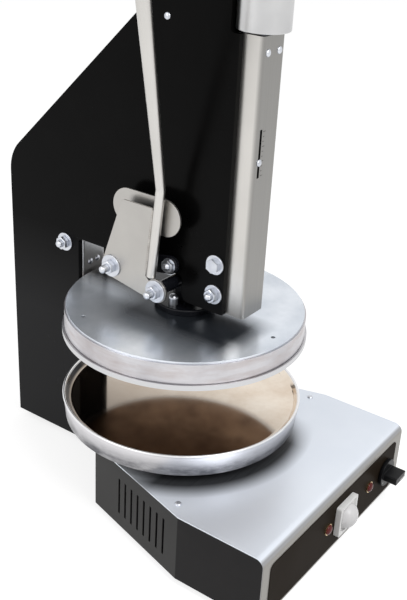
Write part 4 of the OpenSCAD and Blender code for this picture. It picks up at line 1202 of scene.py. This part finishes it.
@dataclass
class Base(Assembly):
    """Folded base with its controls, feet and column foot."""

    edge: float = 0.5 * MM
    knob_edge: float = 0.8 * MM
    knob_segments: int = 3
    bar_half: Pair = (15.0 * MM, 5.5 * MM)
    bar_inset: float = 2.4 * MM
    bar_line: float = 0.55 * MM
    skirt_mark: Pair = (1.6 * MM, 0.6 * MM)
    skirt_mark_place: Pair = (-13.0 * MM, -10.5 * MM)
    skirt_t: float = 5.0 * MM

    def finishes(self) -> dict[Finish, str]:
        """Names the nodes that wear each finish."""
        return {
            STEEL_TOP: "base_cover",
            SIDE_COAT: "side_panel_left side_panel_right rear_panel",
            DARK_STEEL: "bottom_plate thermostat_body switch_body",
            LABEL_FILM: "label_panel",
            RUBBER: "rubber_feet cable_gland",
            PALE_PLASTIC: "column_foot",
            WHITE_PLASTIC: "switch_bezel switch_button",
            CLEAR_BOOT: "switch_boot",
            RED_LENS: "lamp_lenses",
            GOLDEN: "lamp_bodies",
            BLACK_PLASTIC: "thermostat_knob",
            ZINC: "cover_screws thermostat_shaft",
        }

    def build(self) -> None:
        """Rounds the edges of knob and switch, and paints the marks on the knob."""
        soften("thermostat_knob", BLACK_PLASTIC, self.knob_edge, self.knob_segments)
        soften("switch_bezel", WHITE_PLASTIC, self.edge)
        low, high = (np.array(corner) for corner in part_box("thermostat_knob"))
        middle_x, middle_z = (low[0] + high[0]) / 2.0, (low[2] + high[2]) / 2.0
        end_x, end_z = self.bar_half[0] - self.bar_inset, self.bar_half[1] - self.bar_inset
        skirt_x, skirt_z = self.skirt_mark_place
        skirt_face = high[1] - self.skirt_t
        tile = Tile()
        marks = stack([
            tile.mesh((middle_x + end_x / 2.0, low[1], middle_z - end_z),
                      (end_x / 2.0, self.bar_line)),
            tile.mesh((middle_x + end_x, low[1], middle_z),
                      (self.bar_line, end_z - self.bar_line)),
            tile.mesh((middle_x + skirt_x, skirt_face, middle_z + skirt_z), self.skirt_mark),
        ])
        add_piece("knob_marks", *marks, MARK_WHITE, body_of("thermostat_knob"), "white_plastic")


@dataclass
class LowerPlate(Assembly):
    """Heated pan on its pedestal."""

    def finishes(self) -> dict[Finish, str]:
        """Names the nodes that wear each finish."""
        return {
            PAN_ALLOY: "lower_pan",
            DARK_STEEL: "pan_pedestal lower_element",
            ZINC: "pan_bolts",
        }


@dataclass
class Tower(BoltedAssembly):
    """Two frame plates with their covers, fasteners and the stainless nose."""

    edge: float = 0.7 * MM
    washer_edge: float = 0.49 * MM
    tick_x: Pair = (-9.5 * MM, -4.5 * MM)
    tick_z: Pair = (483.0 * MM, 537.0 * MM)
    ticks: int = 10
    long_every: int = 3
    short_share: float = 0.6
    tick_half: float = 0.45 * MM

    def finishes(self) -> dict[Finish, str]:
        """Names the nodes that wear each finish."""
        return {
            BLACK_COAT: "frame_plate_left frame_plate_right frame_crossbars "
                        "front_cover rear_cover top_cover",
            STEEL_COLUMN: "column_cover",
            STEEL_NOSE: "nose_cover",
            ZINC: "frame_bolts frame_washers frame_nuts top_screws",
            DARK_STEEL: "frame_spacers spindle_block",
            BRONZE: "ram_guides",
        }

    def build(self) -> None:
        """Rounds the plates' edges, makes nuts and threads, and etches the slit's scale."""
        for node in ("frame_plate_left", "frame_plate_right"):
            soften(node, BLACK_COAT, self.edge)
        soften("frame_washers", ZINC, self.washer_edge)
        self.nuts_and_threads("frame_nuts", "frame_bolts")
        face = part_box("nose_cover")[0][1]
        left, half = self.tick_x[0], (self.tick_x[1] - self.tick_x[0]) / 2.0
        heights = np.linspace(*self.tick_z, self.ticks)
        is_long = np.arange(self.ticks) % self.long_every == 0
        reaches = np.where(is_long, half, half * self.short_share)
        marks = stack([
            Tile().mesh((left + reach, face, height), (reach, self.tick_half))
            for height, reach in zip(heights, reaches)
        ])
        add_piece("scale_marks", *marks, MARK_DARK, body_of("nose_cover"), "black_paint")


@dataclass
class Adjuster(Assembly):
    """Hand knob, spindle and stop that set the pressing height."""

    def finishes(self) -> dict[Finish, str]:
        """Names the nodes that wear each finish."""
        return {
            KNOB_ALLOY: "adjuster_knob",
            ZINC: "adjuster_spindle pointer_screw",
            DARK_STEEL: "stop_nut",
        }


@dataclass
class UpperPlate(Assembly):
    """Ram with its spring, hub, top disc, housing ring and pressing plate."""

    edge: float = 0.8 * MM
    joint: str = "ram_slide"

    def finishes(self) -> dict[Finish, str]:
        """Names the nodes that wear each finish."""
        return {
            STEEL_DISC: "top_disc",
            RING_ALLOY: "upper_housing",
            PRESS_ALLOY: "press_plate",
            BLACK_FITTING: "hub_flange ram_shaft",
            DARK_STEEL: "stop_arm upper_element",
            ZINC: "hub_bolts return_spring",
        }

    def wind_spring(self) -> None:
        """Winds the return spring between the top of the ram guides and the underside of the stop
        arm.
        """
        node = "return_spring"
        low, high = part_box("ram_guides")[1][2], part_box("stop_arm")[0][2]
        shape = CoilSpring()
        wound = shape.mesh(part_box(node)[1][0] - shape.wire_r, low, high)
        spring = add_piece(
            "return_spring_wound", *wound, ZINC, body_of(node), slot_of(node), WIRE_SHARP)
        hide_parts(node)
        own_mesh(spring)

    def build(self) -> None:
        """Rounds the edges of the disc and the hub, and winds the spring."""
        soften("top_disc", STEEL_DISC, self.edge)
        soften("hub_flange", BLACK_FITTING, self.edge)
        self.wind_spring()


@dataclass
class Lever(BoltedAssembly):
    """Knee link, folded bracket and bent rod with its grip."""

    edge: float = 0.5 * MM
    bead_foot: Triple = (-66.2 * MM, 16.9 * MM, 336.0 * MM)
    bead_head: Triple = (-66.2 * MM, 8.7 * MM, 425.0 * MM)
    bead_r: float = 1.7 * MM
    bead_columns: int = 12
    bead_reach: float = 0.995
    bead_power: int = 8
    ripple: float = 3.2 * MM
    ripple_rows: int = 8
    ripple_swell: float = 0.14

    def finishes(self) -> dict[Finish, str]:
        """Names the nodes that wear each finish."""
        return {
            STEEL_PLAIN: "lever_bracket",
            STEEL_ROD: "lever_rod",
            BLACK_PLASTIC: "lever_grip",
            BLACK_FITTING: "toggle_link lever_bushes",
            ZINC: "lever_bolts lever_washers lever_nuts",
        }

    def weld_bead(self) -> MeshData:
        """Works out the weld between cheek and rod.

        A round profile goes up a straight path. Its radius is
        r (1 + 0.14 cos(2 pi s / p)) sqrt(1 - e^8), with s the length along the path, p the
        spacing of the ripples and e running from -0.995 to 0.995 from end to end.

        Returns:
            The bead's points and faces.
        """
        foot, head = np.array(self.bead_foot), np.array(self.bead_head)
        length = float(np.linalg.norm(head - foot))
        rows, columns = int(length / self.ripple * self.ripple_rows), self.bead_columns
        share = np.linspace(0.0, 1.0, rows)[:, None]
        swell = 1.0 + self.ripple_swell * np.cos(FULL_TURN * share * length / self.ripple)
        close = np.sqrt(1.0 - (self.bead_reach * (2.0 * share - 1.0)) ** self.bead_power)
        radius = self.bead_r * swell * close
        turn = np.linspace(0.0, FULL_TURN, columns, endpoint=False)[None, :]
        level = np.zeros((rows, columns))
        ring = np.stack((radius * np.cos(turn), radius * np.sin(turn), level), axis=-1)
        points = foot + share[..., None] * (head - foot) + ring
        return points.reshape(-1, 3), ring_faces(rows, columns, joined=False)

    def build(self) -> None:
        """Rounds the edges of bracket, link and washers, makes nuts and threads, and welds."""
        soften("lever_bracket", STEEL_PLAIN, self.edge)
        soften("toggle_link", BLACK_FITTING, self.edge)
        soften("lever_washers", ZINC, self.edge)
        self.nuts_and_threads("lever_nuts", "lever_bolts")
        rod = "lever_rod"
        add_piece("lever_weld", *self.weld_bead(), WELD, body_of(rod), slot_of(rod))


@dataclass(frozen=True)
class Lamp:
    """A soft square lamp that faces a point: places and size in metres, power in watts."""

    name: str
    place: Triple
    aim: Triple
    size: float
    watts: float

    def hang(self) -> None:
        """Puts the lamp into the scene."""
        data = bpy.data.lights.new(self.name, "AREA")
        data.size = self.size
        data.energy = self.watts
        lamp = bpy.data.objects.new(self.name, data)
        bpy.context.scene.collection.objects.link(lamp)
        lamp.location = self.place
        ahead = Vector(self.aim) - Vector(self.place)
        lamp.rotation_euler = ahead.to_track_quat("-Z", "Y").to_euler()


@dataclass
class Studio:
    """Camera, floor and light. Angles are in degrees, and the focal length is in pixels."""

    focal_px: float = 972.1
    frame_px: float = 600.0
    sensor_mm: float = 36.0
    clip_start: float = 0.05
    place: Triple = (-0.9482, -0.6801, 0.8623)
    azimuth: float = 55.51
    pitch: float = 26.49
    roll: float = -3.19
    floor_z: float = -0.010
    floor_half: float = 6.0
    floor_glow: float = 0.74
    floor_tone: float = 0.5
    floor_roughness: float = 0.9
    sky_glow: float = 0.50
    lamps: tuple[Lamp, ...] = (
        Lamp("key", place=(-0.4, -1.6, 2.0), aim=(0.0, 0.0, 0.2), size=1.2, watts=26.0),
        Lamp("fill", place=(-2.0, 0.6, 1.4), aim=(0.0, 0.0, 0.3), size=1.4, watts=14.0),
    )

    def add_camera(self) -> None:
        """Puts the camera where the photograph was taken."""
        turn, dip, tilt = (math.radians(angle) for angle in (self.azimuth, self.pitch, self.roll))
        level = math.cos(dip)
        ahead = Vector((math.sin(turn) * level, math.cos(turn) * level, -math.sin(dip)))
        right = Vector((math.cos(turn), -math.sin(turn), 0.0))
        down = ahead.cross(right)
        across = right * math.cos(tilt) + down * math.sin(tilt)
        below = down * math.cos(tilt) - right * math.sin(tilt)
        data = bpy.data.cameras.new("camera")
        data.sensor_width = self.sensor_mm
        data.lens = self.focal_px * self.sensor_mm / self.frame_px
        data.clip_start = self.clip_start
        camera = bpy.data.objects.new("camera", data)
        bpy.context.scene.collection.objects.link(camera)
        axes = Matrix((across, -below, -ahead)).transposed().to_4x4()
        camera.matrix_world = Matrix.Translation(self.place) @ axes
        bpy.context.scene.camera = camera

    @staticmethod
    def seen(tree: Tree) -> Socket:
        """Tells apart the rays that show a surface from those that only light others.

        Args:
            tree: The tree of a material or the world.

        Returns:
            A socket that is 1 on rays from the camera, mirrors and glass, and 0 on all others.
        """
        path = tree.add("ShaderNodeLightPath").outputs
        mirrored = tree.maths("MAXIMUM", path["Is Camera Ray"], path["Is Glossy Ray"])
        return tree.maths("MAXIMUM", mirrored, path["Is Transmission Ray"])

    def add_floor(self) -> None:
        """Lays a pale floor that keeps the shadow and stays white to the camera."""
        half, level = self.floor_half, self.floor_z
        mesh = bpy.data.meshes.new("floor")
        corners = [(x * half, y * half, level) for x, y in ((-1, -1), (1, -1), (1, 1), (-1, 1))]
        mesh.from_pydata(corners, [], [range(len(corners))])
        show(mesh)
        material, tree, shader, _ = new_material("pale_floor")
        shader.inputs["Base Color"].default_value = opaque((self.floor_tone,) * 3)
        shader.inputs["Roughness"].default_value = self.floor_roughness
        shader.inputs["Specular IOR Level"].default_value = 0.0
        shader.inputs["Emission Color"].default_value = WHITE
        glow = tree.maths("MULTIPLY", self.seen(tree), self.floor_glow)
        tree.join(glow, shader.inputs["Emission Strength"])
        mesh.materials.append(material)

    def add_world(self) -> None:
        """Surrounds the scene with even light that looks white."""
        world = bpy.data.worlds.new("studio")
        world.use_nodes = True
        tree = Tree(world.node_tree)
        out = tree.add("ShaderNodeOutputWorld")
        glow = tree.add("ShaderNodeBackground")
        glow.inputs["Color"].default_value = WHITE
        strength = tree.span(self.seen(tree), (0.0, 1.0), (self.sky_glow, 1.0))
        tree.join(strength, glow.inputs["Strength"])
        tree.join(glow.outputs[0], out.inputs[0])
        bpy.context.scene.world = world

    def build(self) -> None:
        """Sets up the whole studio."""
        self.add_camera()
        self.add_floor()
        self.add_world()
        for lamp in self.lamps:
            lamp.hang()
        bpy.context.scene.view_settings.view_transform = "Standard"


def main() -> None:
    """Builds the studio and every sub-assembly in order."""
    logging.basicConfig(level=logging.INFO, format="%(name)s: %(message)s")
    Studio().build()
    for assembly in (Base(), LowerPlate(), Tower(), Adjuster(), UpperPlate(), Lever()):
        assembly.dress()
        assembly.build()


if __name__ == "__main__":
    main()
